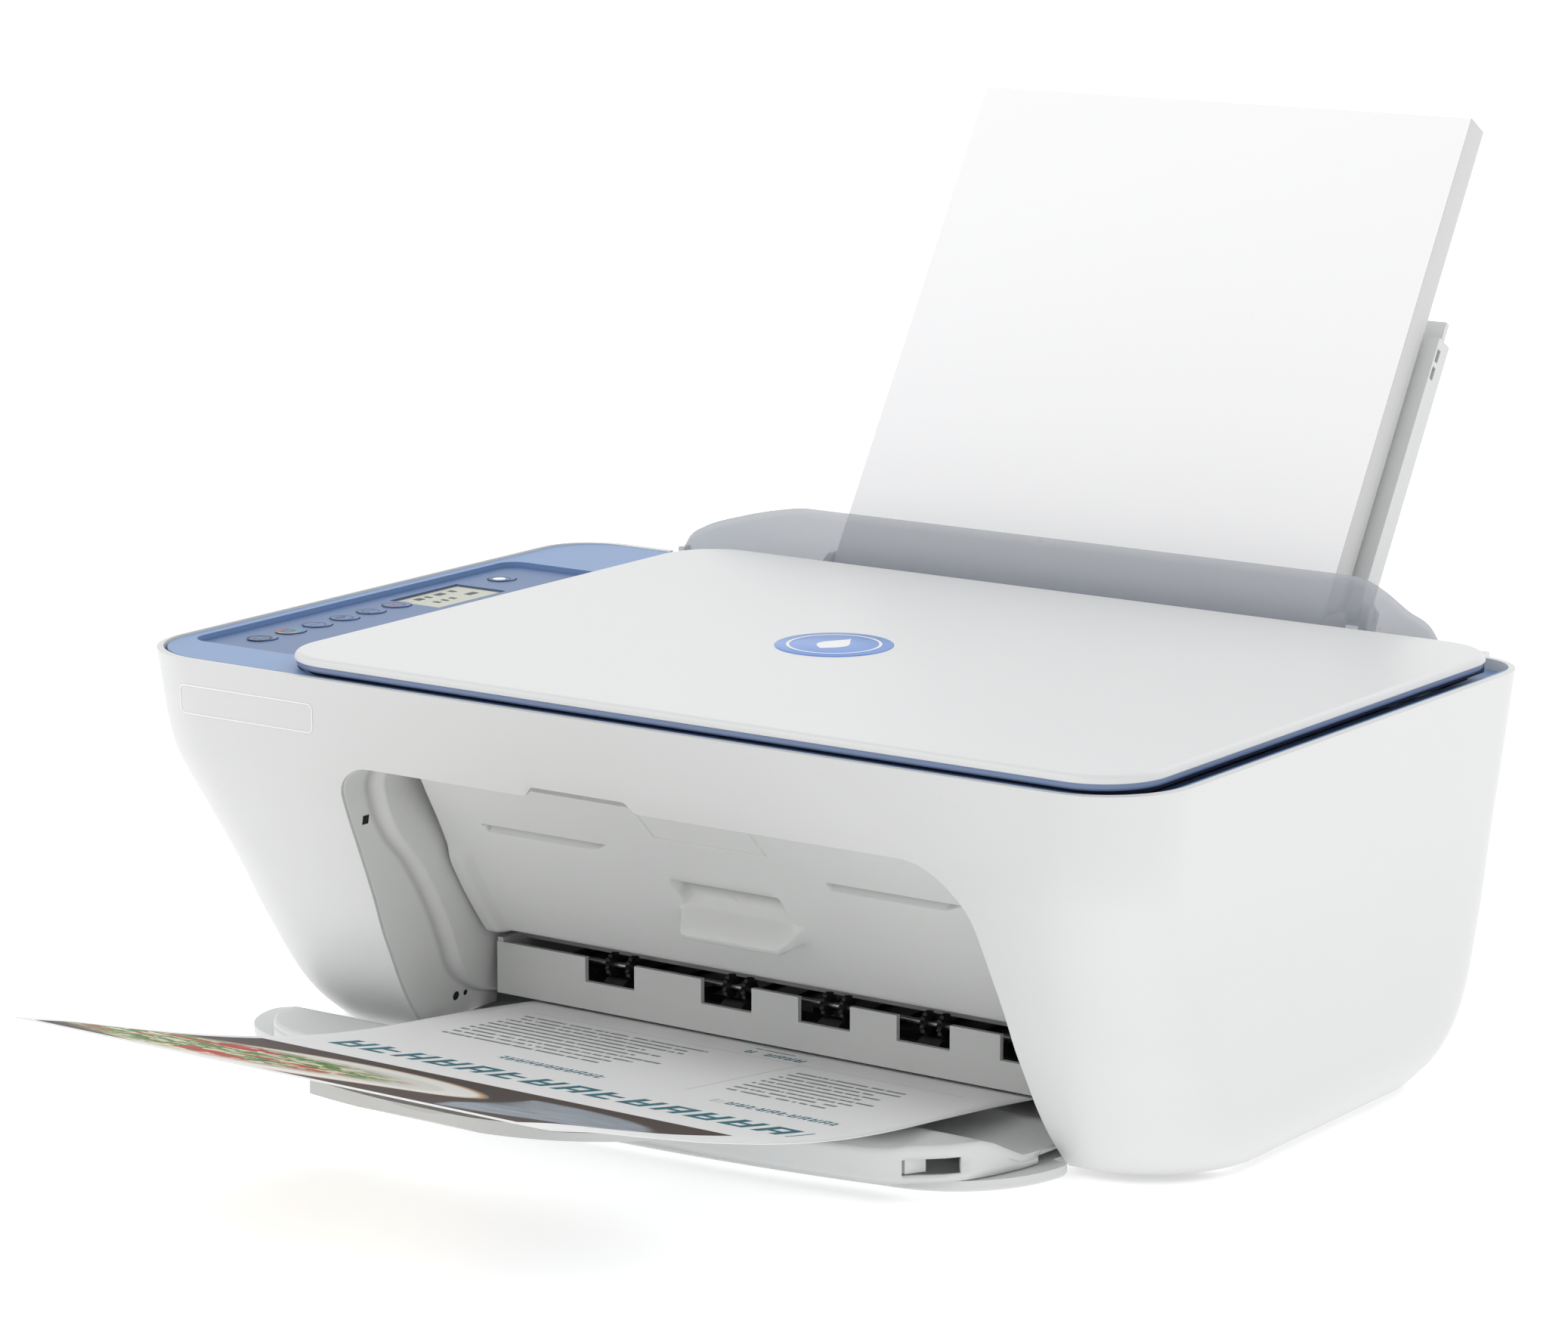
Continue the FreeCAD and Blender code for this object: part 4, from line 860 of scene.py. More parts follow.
# ------------------------------------------------------------------------------------ sub-assemblies
@dataclass
class Shell:
    """Outer case: a wall of rounded sections with a mouth in front and a throat behind."""

    wall: float = 2.4
    mouth_top: float = 118.5
    mouth_left: tuple[float, float] = (-129.0, -112.5)
    mouth_right: float = 144.5
    left_round: float = 13.0
    right_round: float = 24.0
    foot: float = 3.0
    half: tuple = ((3, 191.0), (8, 195.0), (14, 197.5), (32, 199.5), (58, 201.0), (86, 203.2), (114, 207.0),
                   (148, 212.0))
    front: tuple = ((3, -83.5), (8, -88.5), (18, -97.0), (28, -104.0), (39, -110.5), (50, -117.0),
                    (64, -124.0), (84, -135.0), (102, -145.0), (113, -150.0), (126, -151.8), (148, -152.0))
    back: tuple = ((3, 92.0), (11, 102.5), (25, 113.0), (50, 118.5), (77, 120.5), (114, 119.0), (148, 116.0))
    near_round: tuple = ((3, 42.0), (40, 40.0), (86, 36.0), (148, 32.0))
    far_round: tuple = ((3, 36.0), (58, 30.0), (148, 24.0))
    throat: tuple[float, float, float] = (-165.0, 170.0, 66.0)
    notch_rise: float = 3.4
    notch_left: tuple[float, float] = (-31.0, -27.5)
    notch_right: tuple[float, float] = (10.0, 17.0)

    def heights(self) -> Points:
        """Row heights, close together where the mouth's corners turn."""
        turn = np.radians(np.linspace(0.0, 90.0, 10))
        corners = [self.mouth_top - radius * (1.0 - np.sin(turn))
                   for radius in (self.left_round, self.right_round)]
        plain = np.linspace(self.foot, RIM, 44)
        rows = np.unique(np.round(np.concatenate([plain, *corners, [self.throat[2], self.mouth_top]]), 3))
        return rows[np.insert(np.diff(rows) > 0.02, 0, True)]

    def mouth_sides(self, z: Points) -> tuple[Points, Points]:
        """Left and right X of the mouth at each height, corners rounded; above the mouth they stay put."""
        share = np.clip(z / self.mouth_top, 0.0, 1.0)
        left = self.mouth_left[0] + (self.mouth_left[1] - self.mouth_left[0]) * share
        right = np.full_like(z, self.mouth_right)
        for radius, sign, side in ((self.left_round, 1.0, left), (self.right_round, -1.0, right)):
            rise = np.clip(z - (self.mouth_top - radius), 0.0, radius)
            side += sign * (radius - np.sqrt(np.maximum(radius ** 2 - rise ** 2, 0.0)))
        return left, right

    def build(self) -> None:
        """Work out the wall: at every height, a path from the mouth's left side round the back to its right.

        The path is two front runs, four corner arcs, two sides and the back; above the mouth a grid between
        the mouth's sides makes the lintel, its lower edge lifted by a smooth notch.
        """
        z = self.heights()
        half, front, back = (smooth_curve(rows)(z) for rows in (self.half, self.front, self.back))
        near, far = (smooth_curve(rows)(z) for rows in (self.near_round, self.far_round))
        left, right = self.mouth_sides(z)

        def line(start: Points, end: Points, count: int) -> Points:
            """Straight run of points for every row."""
            t = np.linspace(0.0, 1.0, count)[None, :, None]
            return start[:, None, :] * (1 - t) + end[:, None, :] * t

        def spot(x: Points, y: Points) -> Points:
            """Column of X and Y pairs."""
            return np.stack([np.broadcast_to(x, z.shape), np.broadcast_to(y, z.shape)], -1)

        throat_left, throat_right, sill = self.throat
        path = [
            line(spot(left, front), spot(near - half, front), 12),
            corner_arc(spot(near - half, front + near), near, 270.0, 180.0, 16),
            line(spot(-half, front + near), spot(-half, back - far), 14),
            corner_arc(spot(far - half, back - far), far, 180.0, 90.0, 12),
            line(spot(far - half, back), spot(throat_left, back), 4),
            line(spot(throat_left, back), spot(throat_right, back), 12),
            line(spot(throat_right, back), spot(half - far, back), 4),
            corner_arc(spot(half - far, back - far), far, 90.0, 0.0, 12),
            line(spot(half, back - far), spot(half, front + near), 14),
            corner_arc(spot(half - near, front + near), near, 0.0, -90.0, 16),
            line(spot(half - near, front), spot(right, front), 12),
        ]
        flat = np.concatenate(path, 1)
        columns = flat.shape[1]
        points = np.concatenate([flat, np.broadcast_to(z[:, None, None], (len(z), columns, 1))], -1)
        faces = quads(len(z), columns)[:, ::-1]
        middle = points.reshape(-1, 3)[faces].mean(1)
        open_back = (middle[:, 0] > throat_left) & (middle[:, 0] < throat_right) & (middle[:, 1] > 60.0)
        faces = faces[~(open_back & (middle[:, 2] > sill))]
        top = z >= self.mouth_top - 1e-6
        rows = z[top]
        x = crowded(left[-1], right[-1], 60, (*self.notch_left, *self.notch_right), 3.0)
        rise = self.notch_rise * window(x, self.notch_left, self.notch_right)
        lift = rise[None, :] * (1.0 - (rows[:, None] - self.mouth_top) / (RIM - self.mouth_top))
        lintel = np.stack(np.broadcast_arrays(x[None, :], front[top][:, None], rows[:, None] + lift), -1)
        more = quads(len(rows), 60, len(points.reshape(-1, 3)))
        piece = new_piece("shell_skin", np.concatenate([points.reshape(-1, 3), lintel.reshape(-1, 3)]),
                          np.vstack([faces, more]), Finish.SHELL, "case", ["outer_shell"])
        merge(piece)
        thicken(piece, self.wall, 0.9, even=False)


@dataclass
class Door:
    """Access door: a sloping panel with two shallow slots, a label groove and a grip whose lip stands out."""

    hinge: tuple[float, float] = (-60.0, 43.0)
    slope: float = 132.0
    right: float = 141.3
    low: float = -3.6
    high: float = 95.0
    left: tuple = ((-4.0, -117.4), (41.5, -112.7), (63.0, -107.8), (95.0, -98.4))
    slots: tuple[float, float] = (-86.0, 60.3)
    slot_rows: tuple[float, float] = (60.7, 65.4)
    slot_length: float = 45.7
    slot_slant: float = 1.6
    slot_depth: tuple[float, float] = (0.8, 2.6)
    label: tuple[float, float, float] = (-5.5, 41.0, 76.6)
    label_groove: float = 0.35
    grip: tuple[float, float] = (-12.5, 33.5)
    recess: float = 3.6
    lip: float = 9.6
    arrow: float = 0.5
    bow: float = 3.0
    strip: float = 1.8
    wall: float = 2.2

    def slot(self, x: Points, a: Points, start: float) -> Points:
        """Wedge-shaped slot, deepest along its upper edge, its right end cut on the slant."""
        low, high = self.slot_rows
        shallow, growth = self.slot_depth
        end = start + self.slot_length + (a - low) * self.slot_slant
        across = step(x, start - 0.4, start + 0.4) * (1.0 - step(x - end, -0.5, 0.5))
        along = window(a, (low - 0.5, low + 0.3), (high - 0.2, high + 0.5))
        return across * along * (shallow + growth * (a - low) / (high - low))

    def groove(self, x: Points, a: Points) -> Points:
        """Fine groove round the label field."""
        left, right, low = self.label
        sides = np.maximum(line_of(x - left), line_of(x - right)) * step(a, low - 0.2, low)
        foot = line_of(a - low) * window(x, (left, left + 0.3), (right - 0.3, right))
        return self.label_groove * np.maximum(sides, foot)

    def handle(self, x: Points, a: Points) -> Points:
        """Grip: a waisted recess, a lip below it that blends sideways into the panel, and a small arrow."""
        left, right = self.grip
        waist = 2.2 * np.exp(-((a - 41.5) / 3.0) ** 2)
        recess = step(x - waist, left - 0.6, left + 1.4) * (1.0 - step(x, right - 1.4, right + 0.6))
        recess = recess * window(a, (35.5, 39.5), (48.2, 51.0))
        lip = window(x, (left - 3.0, left + 3.0), (right - 4.0, right + 5.0))
        lip = lip * window(a, (25.0, 31.6), (33.6, 36.8))
        stroke = line_of((x - 9.0) * 0.78 + (a - 41.0) * 0.62)
        arrow = np.maximum(stroke, line_of((x - 14.5) * 0.9 - (a - 40.0) * 0.4))
        arrow = arrow * np.exp(-(((x - 12.0) / 5.0) ** 6 + ((a - 42.0) / 3.6) ** 6))
        return self.recess * recess - self.lip * lip - self.arrow * arrow

    def depth(self, x: Points, a: Points) -> Points:
        """Depth of the face behind a flat panel, millimetres."""
        bow = -self.bow * window(a, (-4.0, 1.0), (4.0, 62.0))
        upper = -0.05 * np.maximum(a - 66.0, 0.0)
        beside = x - smooth_curve(self.left)(a)
        strip = -self.strip * (1.0 - step(beside, 6.6, 7.4)) * (1.0 - step(a, 40.0, 50.0))
        slots = sum(self.slot(x, a, start) for start in self.slots)
        return bow + upper + strip + slots + self.groove(x, a) + self.handle(x, a)

    def painted_shade(self, x: Points, a: Points) -> Points:
        """Painted shade: how far the light is shut out, in the slots, the groove, the grip and along the
        inner edge of the left strip.
        """
        slots = sum(self.slot(x, a, start) for start in self.slots) * 0.30
        left, right = self.grip
        width = window(x, (left, left + 3.0), (right - 3.0, right))
        recess = 0.75 * np.exp(-((a - 46.5) / 4.2) ** 2)
        under = 0.8 * np.exp(-((a - 29.0) / 2.6) ** 2)
        edges = np.exp(-((x - smooth_curve(self.left)(a) - 8.0) / 1.2) ** 2) * (1.0 - step(a, 40.0, 50.0))
        return np.clip(slots + self.groove(x, a) * 0.6 + width * (recess + under) + edges * 0.25, 0.0, 1.0)

    def build(self) -> None:
        """Grid across the door and up it, pushed in by the depth, then given its wall."""
        marks = (self.slots[0], self.slots[0] + 49.0, self.slots[1], self.slots[1] + 49.0, *self.grip, 11.0)
        u = crowded(0.0, 1.0, 210, [(mark + 112.0) / 253.0 for mark in marks], 0.012)[None, :]
        a = crowded(self.low, self.high, 130, (61.0, 65.4, 76.6, 49.5, 36.0, 30.0), 2.0)[:, None]
        edge = smooth_curve(self.left)(a)
        x = edge + (self.right - edge) * u
        deep = self.depth(x, a)
        turn = math.radians(self.slope)
        y = self.hinge[0] + a * math.cos(turn) + deep * math.sin(turn)
        z = self.hinge[1] + a * math.sin(turn) - deep * math.cos(turn)
        points = np.stack(np.broadcast_arrays(x, y, z), -1).reshape(-1, 3)
        # Painted shade, carried in the first UV channel; the finish darkens the base colour by it.
        shade = self.painted_shade(x, a)
        uv = np.stack([shade, 0.0 * shade], -1).reshape(-1, 2)
        faces = quads(a.size, u.size)
        piece = new_piece("door_skin", points, faces, Finish.MOULDED, "door", ["access_door"], uv)
        thicken(piece, self.wall, 0.6, even=False)


@dataclass
class Cheek:
    """Left wall of the mouth: flat in front, with a raised field behind an S-shaped bevel."""

    back: float = -45.0
    raised: float = 4.0
    bevel: float = 4.6
    ridge: tuple = ((8.0, -40.0), (12.0, -47.0), (14.5, -56.0), (21.0, -69.2), (27.6, -76.8), (37.6, -82.6),
                    (49.2, -89.5), (57.5, -95.1), (67.7, -103.0), (76.3, -110.6), (85.3, -120.3),
                    (95.2, -128.0), (104.4, -132.6), (118.5, -138.0))
    holes: tuple = (((-132.7, 95.0), 2.3, 4), ((-70.1, 15.4), 1.7, 20), ((-64.6, 15.5), 1.1, 16))

    def build(self, shell: Shell) -> None:
        """Grid from the shell's wall back into the mouth, following the mouth's rounded top corner."""
        z = crowded(7.5, shell.mouth_top - 0.05, 120, (14.0, shell.mouth_top), 5.0)
        wall, _ = shell.mouth_sides(z)
        start = smooth_curve(shell.front)(z) + 1.6
        crest = smooth_curve(self.ridge)(z)[:, None]
        y = start[:, None] + (self.back - start)[:, None] * np.linspace(0.0, 1.0, 150)[None, :]
        climb = np.clip((y - crest) / self.bevel, 0.0, 1.0)
        rise = self.raised * (0.25 * step(climb, 0.0, 1.0) + 0.75 * climb)
        x = wall[:, None] + rise
        # Painted shade in the first UV channel: a dark band along the foot of the bevel, and darker deeper
        # into the mouth.
        foot = np.exp(-((y - crest) / 1.6) ** 2) * 0.5 + step(y, -75.0, -48.0) * 0.35
        uv = np.stack([np.clip(foot, 0.0, 1.0), 0.0 * foot], -1).reshape(-1, 2)
        points = np.stack(np.broadcast_arrays(x, y, z[:, None]), -1).reshape(-1, 3)
        piece = new_piece("cheek_skin", points, quads(120, 150), Finish.MOULDED, "case", ["cheek_left"], uv)
        thicken(piece, 1.2, even=False)
        # Black patches laid over the holes are painted shade for their dark insides.
        slope = (shell.mouth_left[1] - shell.mouth_left[0]) / shell.mouth_top
        for i, ((at_y, at_z), radius, sides) in enumerate(self.holes):
            ring = circle(at_y, at_z, radius, 45.0, 405.0, sides)
            patch = np.column_stack([shell.mouth_left[0] + ring[:, 1] * slope + 0.12, ring])
            new_piece("cheek_hole_%d" % i, patch, [list(range(sides))], Finish.HOLE, "case")


@dataclass
class Tray:
    """Output tray: bowed front edge, raised shoulder, a sloping channel for the extender and a latch slot."""

    front: tuple = ((-171.0, -119.0), (-165.0, -127.0), (-140.0, -137.0), (-93.0, -145.6), (-50.0, -150.4),
                    (-8.0, -152.4), (45.0, -152.5), (98.0, -148.4), (110.5, -146.2), (117.0, -141.8),
                    (140.0, -103.2), (141.0, -97.0))
    shoulder: tuple = ((104.0, 11.0), (111.0, 14.6), (118.0, 18.2), (128.0, 19.4), (140.0, 19.0),
                       (156.0, 16.6))
    crown: tuple = ((-180.0, 13.0), (56.0, 15.4), (84.0, 17.8), (100.0, 18.9), (141.0, 19.0))
    foot: float = 6.5
    edge: float = 1.8
    channel: tuple = ((-77.4, -76.0), (48.0, 49.4))
    skirt: tuple = (14.6, 12.0, 9.0)
    slot_run: tuple[float, float] = (-0.4, 17.4)
    latch: tuple[float, float] = (117.0, -142.0)
    latch_turn: float = math.atan2(39.0, 23.0)

    def top(self, x: Points, y: Points) -> Points:
        """Height of the tray: low behind, a shoulder in front that is highest on the right."""
        side = np.where(y > -104.0, 9.6 + (-61.0 - y) * 0.0326, smooth_curve(self.shoulder)(-y))
        crown = smooth_curve(self.crown)(x)
        channel = 21.1 - (y + 215.0) * 0.075
        inside = window(x, *self.channel)
        height = np.minimum(side, crown)
        return height + (np.minimum(height, channel) - height) * inside

    def build(self) -> None:
        """Grid across the tray, from its back to its bowed front, where a quarter round leads to a skirt."""
        x = crowded(-171.0, 141.0, 150, (-123.0, -76.6, 48.6, 112.0, 118.0, 139.0), 3.0)[None, :]
        front = smooth_curve(self.front)(x)
        back = -108.0 + 46.0 * step(x, -124.0, -122.2)
        t = crowded(0.0, 1.0, 70, (0.45, 1.0), 0.16)[:, None]
        y = back + (front + self.edge - back) * t
        z = self.top(x, y)
        turn = np.radians(np.linspace(12.0, 90.0, 6))[:, None]
        rim = self.top(x, front + self.edge)
        round_y = front + self.edge * (1.0 - np.sin(turn))
        round_z = rim - self.edge * (1.0 - np.cos(turn))
        skirt = np.minimum(np.array([*self.skirt, self.foot])[:, None], rim - self.edge - 0.2)
        y = np.vstack([y, round_y, np.broadcast_to(front, skirt.shape)])
        z = np.vstack([z, round_z, skirt])
        points = np.stack([np.broadcast_to(x, y.shape), y, z], -1)
        rows, columns = y.shape
        faces = quads(rows, columns)[:, ::-1]
        middle = points.reshape(-1, 3)[faces].mean(1)
        run = np.array([math.cos(self.latch_turn), math.sin(self.latch_turn)])
        along = (middle[:, :2] - np.array(self.latch)) @ run
        skirted = faces.min(1) >= (rows - len(skirt) - 1) * columns
        begin, end = self.slot_run
        level = (middle[:, 2] > self.skirt[-1]) & (middle[:, 2] < self.skirt[0])
        slot = skirted & level & (along > begin) & (along < end)
        points = points.reshape(-1, 3)
        piece = new_piece("tray_skin", points, faces[~slot], Finish.TRAY, "case", ["output_tray"])
        thicken(piece, 1.6, even=False)


@dataclass
class Lid:
    """Scanner lid: white cover over a blue liner, with a generic round badge."""

    left: float = -146.0
    right: float = 205.0
    front: float = -149.0
    back: float = 107.0
    low: float = 150.0
    top: float = 154.0
    corner: float = 24.0
    badge: tuple[float, float, float] = (8.8, -24.8, 21.0)

    def build(self) -> None:
        """Make the cover, the blue rim below it and the badge."""
        sides = (self.left, self.right, self.front, self.back)
        points, faces = slab(sides, [self.corner] * 4, round_profile(self.low + 1.3, self.top, 0.3, 2.4), 16)
        harden(new_piece("lid_cover_skin", points, faces, Finish.LID, "lid", ["lid_cover"]), 50.0)
        rim = [side + sign * 0.7 for side, sign in zip(sides, (1, -1, 1, -1))]
        edge = round_profile(self.low - 1.2, self.low + 1.3, 1.2, 0.1)
        points, faces = slab(rim, [self.corner - 0.7] * 4, edge, 16)
        harden(new_piece("lid_rim_skin", points, faces, Finish.RIM, "lid"), 50.0)
        x, y, radius = self.badge
        rings = [circle(x, y, r, count=64) for r in (radius, radius, radius - 0.4, 0.01)]
        heights = (self.top, self.top + 0.15, self.top + 0.3, self.top + 0.3)
        points = np.concatenate([np.column_stack([ring, np.full(64, h)]) for ring, h in zip(rings, heights)])
        new_piece("badge_disc", points, quads(4, 64, loop=True), Finish.BADGE, "lid", ["lid_badge"])
        self.mark(x, y, radius)

    def mark(self, x: float, y: float, radius: float) -> None:
        """Plain emblem: a ring round a drop, whose half width is a sine that narrows to a point."""
        points, faces = ribbon(circle(x, y, radius * 0.78, count=64), 1.1, self.top + 0.36, True)
        t = np.linspace(0.0, 1.0, 40)
        half = 0.36 * radius * np.sin(np.pi * t) ** 1.1 * (1.15 - 0.85 * t)
        along = y - 0.42 * radius + t * 0.95 * radius
        flat = np.stack([np.stack([x + half, along], -1), np.stack([x - half, along], -1)], 1).reshape(-1, 2)
        drop = np.column_stack([flat, np.full(len(flat), self.top + 0.36)])
        faces = np.vstack([faces[:, ::-1], quads(len(t), 2, len(points))[:, ::-1]])
        new_piece("badge_mark", np.vstack([points, drop]), faces, Finish.MARK, "lid")


@dataclass
class Sheet:
    """The printed sheet, curling up towards its free end."""

    left: float = -102.45
    width: float = 215.9
    line: tuple = ((-50.0, 13.3), (-84.0, 17.7), (-112.0, 20.9), (-144.0, 24.5), (-172.0, 28.7),
                   (-204.0, 35.3), (-242.0, 45.1), (-278.0, 55.9), (-303.0, 63.7), (-325.0, 69.7))

    def build(self) -> None:
        """Grid across the width and along the smooth line through the knots."""
        y = np.linspace(-50.0, -324.8, 90)
        z = smooth_curve([(-a, b) for a, b in self.line])(-y)
        run = np.concatenate([[0.0], np.cumsum(np.hypot(np.diff(y), np.diff(z)))])
        u = np.linspace(0.0, 1.0, 40)
        x = self.left + self.width * u
        points = np.stack(np.broadcast_arrays(x[None, :], y[:, None], z[:, None]), -1).reshape(-1, 3)
        uv = np.stack(np.broadcast_arrays(u[None, :], (run / run[-1])[:, None]), -1).reshape(-1, 2)
        faces = quads(len(y), len(u))[:, ::-1]
        piece = new_piece("sheet_print", points, faces, Finish.PRINT, "sheet", ["printed_sheet"], uv)
        thicken(piece, 0.25, 0.0, -1.0)


@dataclass
class PaperStack:
    """Loaded sheets leaning on the input tray."""

    left: float = -102.45
    width: float = 215.9
    length: float = 279.4
    thick: float = 12.0
    foot: tuple[float, float] = (97.4, 84.0)
    lean: float = math.radians(31.32)
    corner: float = 0.2

    def place(self, x: Points, deep: Points, up: Points) -> Points:
        """Turn stack coordinates into drawing millimetres."""
        y = self.foot[0] + deep * math.cos(self.lean) + up * math.sin(self.lean)
        z = self.foot[1] - deep * math.sin(self.lean) + up * math.cos(self.lean)
        return np.stack(np.broadcast_arrays(x, y, z), -1).reshape(-1, 3)

    def build(self) -> None:
        """A rounded section carried up the length, closed by a grid at each end."""
        right = self.left + self.width
        ring = rounded_outline(self.left, right, 0.0, self.thick, [self.corner] * 4, 3)
        rows, deep_rows, columns = 12, 8, 12
        up = np.linspace(0.0, self.length, rows)[:, None]
        wander = 0.12 * np.sin(ring[:, 1] * 4.1) * np.sin(ring[:, 1] * 1.7 + 0.4)
        wall = self.place(ring[None, :, 0] + wander[None, :], ring[None, :, 1], up)
        # The second UV channel marks the sides and ends, which the finish paints darker as shade.
        on_side = np.maximum(self.left - ring[:, 0], ring[:, 0] - right) > -self.corner / 2.0
        through = ring[None, :, 1] / self.thick
        uv = np.stack(np.broadcast_arrays(through, 1.0 * on_side[None, :] + 0.0 * up), -1)
        x = np.linspace(self.left + self.corner, right - self.corner, columns)[None, :]
        deep = np.linspace(0.0, self.thick, deep_rows)[:, None]
        ends = [self.place(x, deep, height + 0.0 * x) for height in (0.0, self.length)]
        end_uv = np.stack(np.broadcast_arrays(deep / self.thick + 0.0 * x, 1.0 + 0.0 * x), -1).reshape(-1, 2)
        faces = [quads(rows, len(ring), loop=True), quads(deep_rows, columns, len(wall))[:, ::-1],
                 quads(deep_rows, columns, len(wall) + deep_rows * columns)]
        piece = new_piece("stack_sheets", np.vstack([wall, *ends]), np.vstack(faces), Finish.STACK, "stack",
                          ["paper_stack"], np.vstack([uv.reshape(-1, 2), end_uv, end_uv]))
        harden(piece, 30.0)


@dataclass
class Shield:
    """Smoky flap with a low trapezoid outline and a rolled edge."""

    y: float = 121.0
    outline: tuple = ((-163.0, 149.2), (-161.0, 152.7), (-154.5, 157.0), (-136.0, 163.2), (-115.0, 168.0),
                      (-104.0, 169.3), (0.0, 169.3), (120.0, 169.2), (135.6, 168.9), (145.0, 165.8),
                      (156.0, 159.0), (166.0, 153.3), (168.0, 150.0))
    foot: float = 146.4

    def build(self) -> None:
        """Grid from the foot up to the outline, leaning slightly and rolled over at the top."""
        spans = ((-163.0, -100.0, 50), (-98.0, 130.0, 24), (132.0, 168.0, 36))
        x = np.concatenate([np.linspace(*span) for span in spans])
        top = smooth_curve(self.outline)(x)
        t = np.linspace(0.0, 1.0, 16)
        z = self.foot + (top - self.foot)[:, None] * t[None, :]
        y = self.y + 1.0 + 0.9 * step(top[:, None] - z, 1.6, 0.0)
        points = np.stack(np.broadcast_arrays(x[:, None], y, z), -1).reshape(-1, 3)
        faces = quads(len(x), len(t))
        piece = new_piece("shield_skin", points, faces, Finish.SMOKE, "shield", ["shield_flap"])
        thicken(piece, 1.8, 0.4, 0.0)


@dataclass
class Keys:
    """Printed rings and icons on the round keys, and the marks on the display."""

    x: float = -190.0
    ring: float = 4.2
    line: float = 0.4
    lift: float = 0.04
    spots: dict = field(default_factory=lambda: {
        "button_copy_black": -101.5, "button_copy_color": -85.8, "button_info": -71.0,
        "button_wireless": -55.5, "button_resume": -40.3, "button_cancel": -25.3, "button_power": 38.0,
    })

    def strip(self, key: str, part: str, path: Points, width: float, finish: Finish,
              closed: bool = False) -> None:
        """Printed line on a key.

        Args:
            key: the key's node.
            part: name of the line.
            path: X and Y from the key's centre.
            width: width of the line.
            finish: its ink.
            closed: whether it joins its start.
        """
        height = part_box(key)[1].z / MM + self.lift
        spot = np.asarray(path, float) + np.array([self.x, self.spots[key]])
        points, faces = ribbon(spot, width, height, closed)
        new_piece(key + "_" + part, points, faces[:, ::-1], finish, key + "_key")

    def icons(self) -> None:
        """Icons inside the rings: pages, dots, waves, a returning arrow, a cross and a lamp."""
        page = [(-1.6, -2.0), (1.6, -2.0), (1.6, 2.0), (-1.6, 2.0)]
        for key in ("button_copy_black", "button_copy_color"):
            self.strip(key, "page", page, self.line, Finish.INK, True)
        for i, along in enumerate((-1.8, 0.0, 1.8)):
            dot = [(0.0, along - 0.4), (0.0, along + 0.4)]
            self.strip("button_info", "dot_%d" % i, dot, 0.8, Finish.INK)
        for i, radius in enumerate((1.2, 2.3, 3.4)):
            wave = circle(1.6, 0.0, radius, 125.0, 235.0, 12)
            self.strip("button_wireless", "wave_%d" % i, wave, self.line, Finish.INK)
        self.strip("button_wireless", "lamp", [(2.2, -0.5), (2.2, 0.5)], 1.0, Finish.CYAN)
        self.strip("button_resume", "arc", circle(0.0, 0.0, 2.3, 40.0, 320.0, 24), self.line, Finish.INK)
        self.strip("button_resume", "barb", [(0.4, -2.6), (1.9, -1.4), (2.6, -3.0)], self.line, Finish.INK)
        for i, side in enumerate((-1.0, 1.0)):
            stroke = [(-2.0, -2.0 * side), (2.0, 2.0 * side)]
            self.strip("button_cancel", "cross_%d" % i, stroke, 0.55, Finish.RED)
        self.strip("button_power", "lamp", circle(0.0, 0.0, 1.3, count=24), 2.4, Finish.GLOW, True)

    def display(self) -> None:
        """Dark border round the display, with small generic segments on it."""
        low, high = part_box("display_window")
        left, right, top = low.x / MM, high.x / MM, high.z / MM + 0.05
        front, back = (low.y - SHIFT_Y) / MM, (high.y - SHIFT_Y) / MM
        border = 1.4
        edge = border / 2.0
        around = [(left + edge, front + edge), (right - edge, front + edge),
                  (right - edge, back - edge), (left + edge, back - edge)]
        points, faces = ribbon(around, border, top, True)
        new_piece("display_border", points, faces[:, ::-1], Finish.INK, "case")
        rows = {0.25: ((0.2, 0.10), (0.36, 0.05), (0.5, 0.12), (0.72, 0.06)),
                0.62: ((0.22, 0.05), (0.34, 0.05), (0.46, 0.05), (0.7, 0.14))}
        pieces, faces = [], []
        for across, bars in rows.items():
            x = left + (right - left) * across
            for along, long in bars:
                y = front + (back - front) * along
                bar_points, bar_faces = ribbon([(x, y), (x, y + (back - front) * long)], 3.2, top)
                faces.append(bar_faces[:, ::-1] + len(pieces) * len(bar_points))
                pieces.append(bar_points)
        new_piece("display_segments", np.vstack(pieces), np.vstack(faces), Finish.INK, "case")

    def build(self) -> None:
        """Rings first, then icons and display."""
        heavy = {"button_copy_black": 1.1}
        for key in self.spots:
            if key == "button_copy_color":
                for i, finish in enumerate((Finish.TEAL, Finish.RED, Finish.YELLOW)):
                    arc = circle(0.0, 0.0, self.ring, 120.0 * i + 8.0, 120.0 * i + 128.0, 24)
                    self.strip(key, "arc_%d" % i, arc, 1.0, finish)
            else:
                loop = circle(0.0, 0.0, self.ring)
                self.strip(key, "ring", loop, heavy.get(key, self.line), Finish.INK, True)
        self.icons()
        self.display()


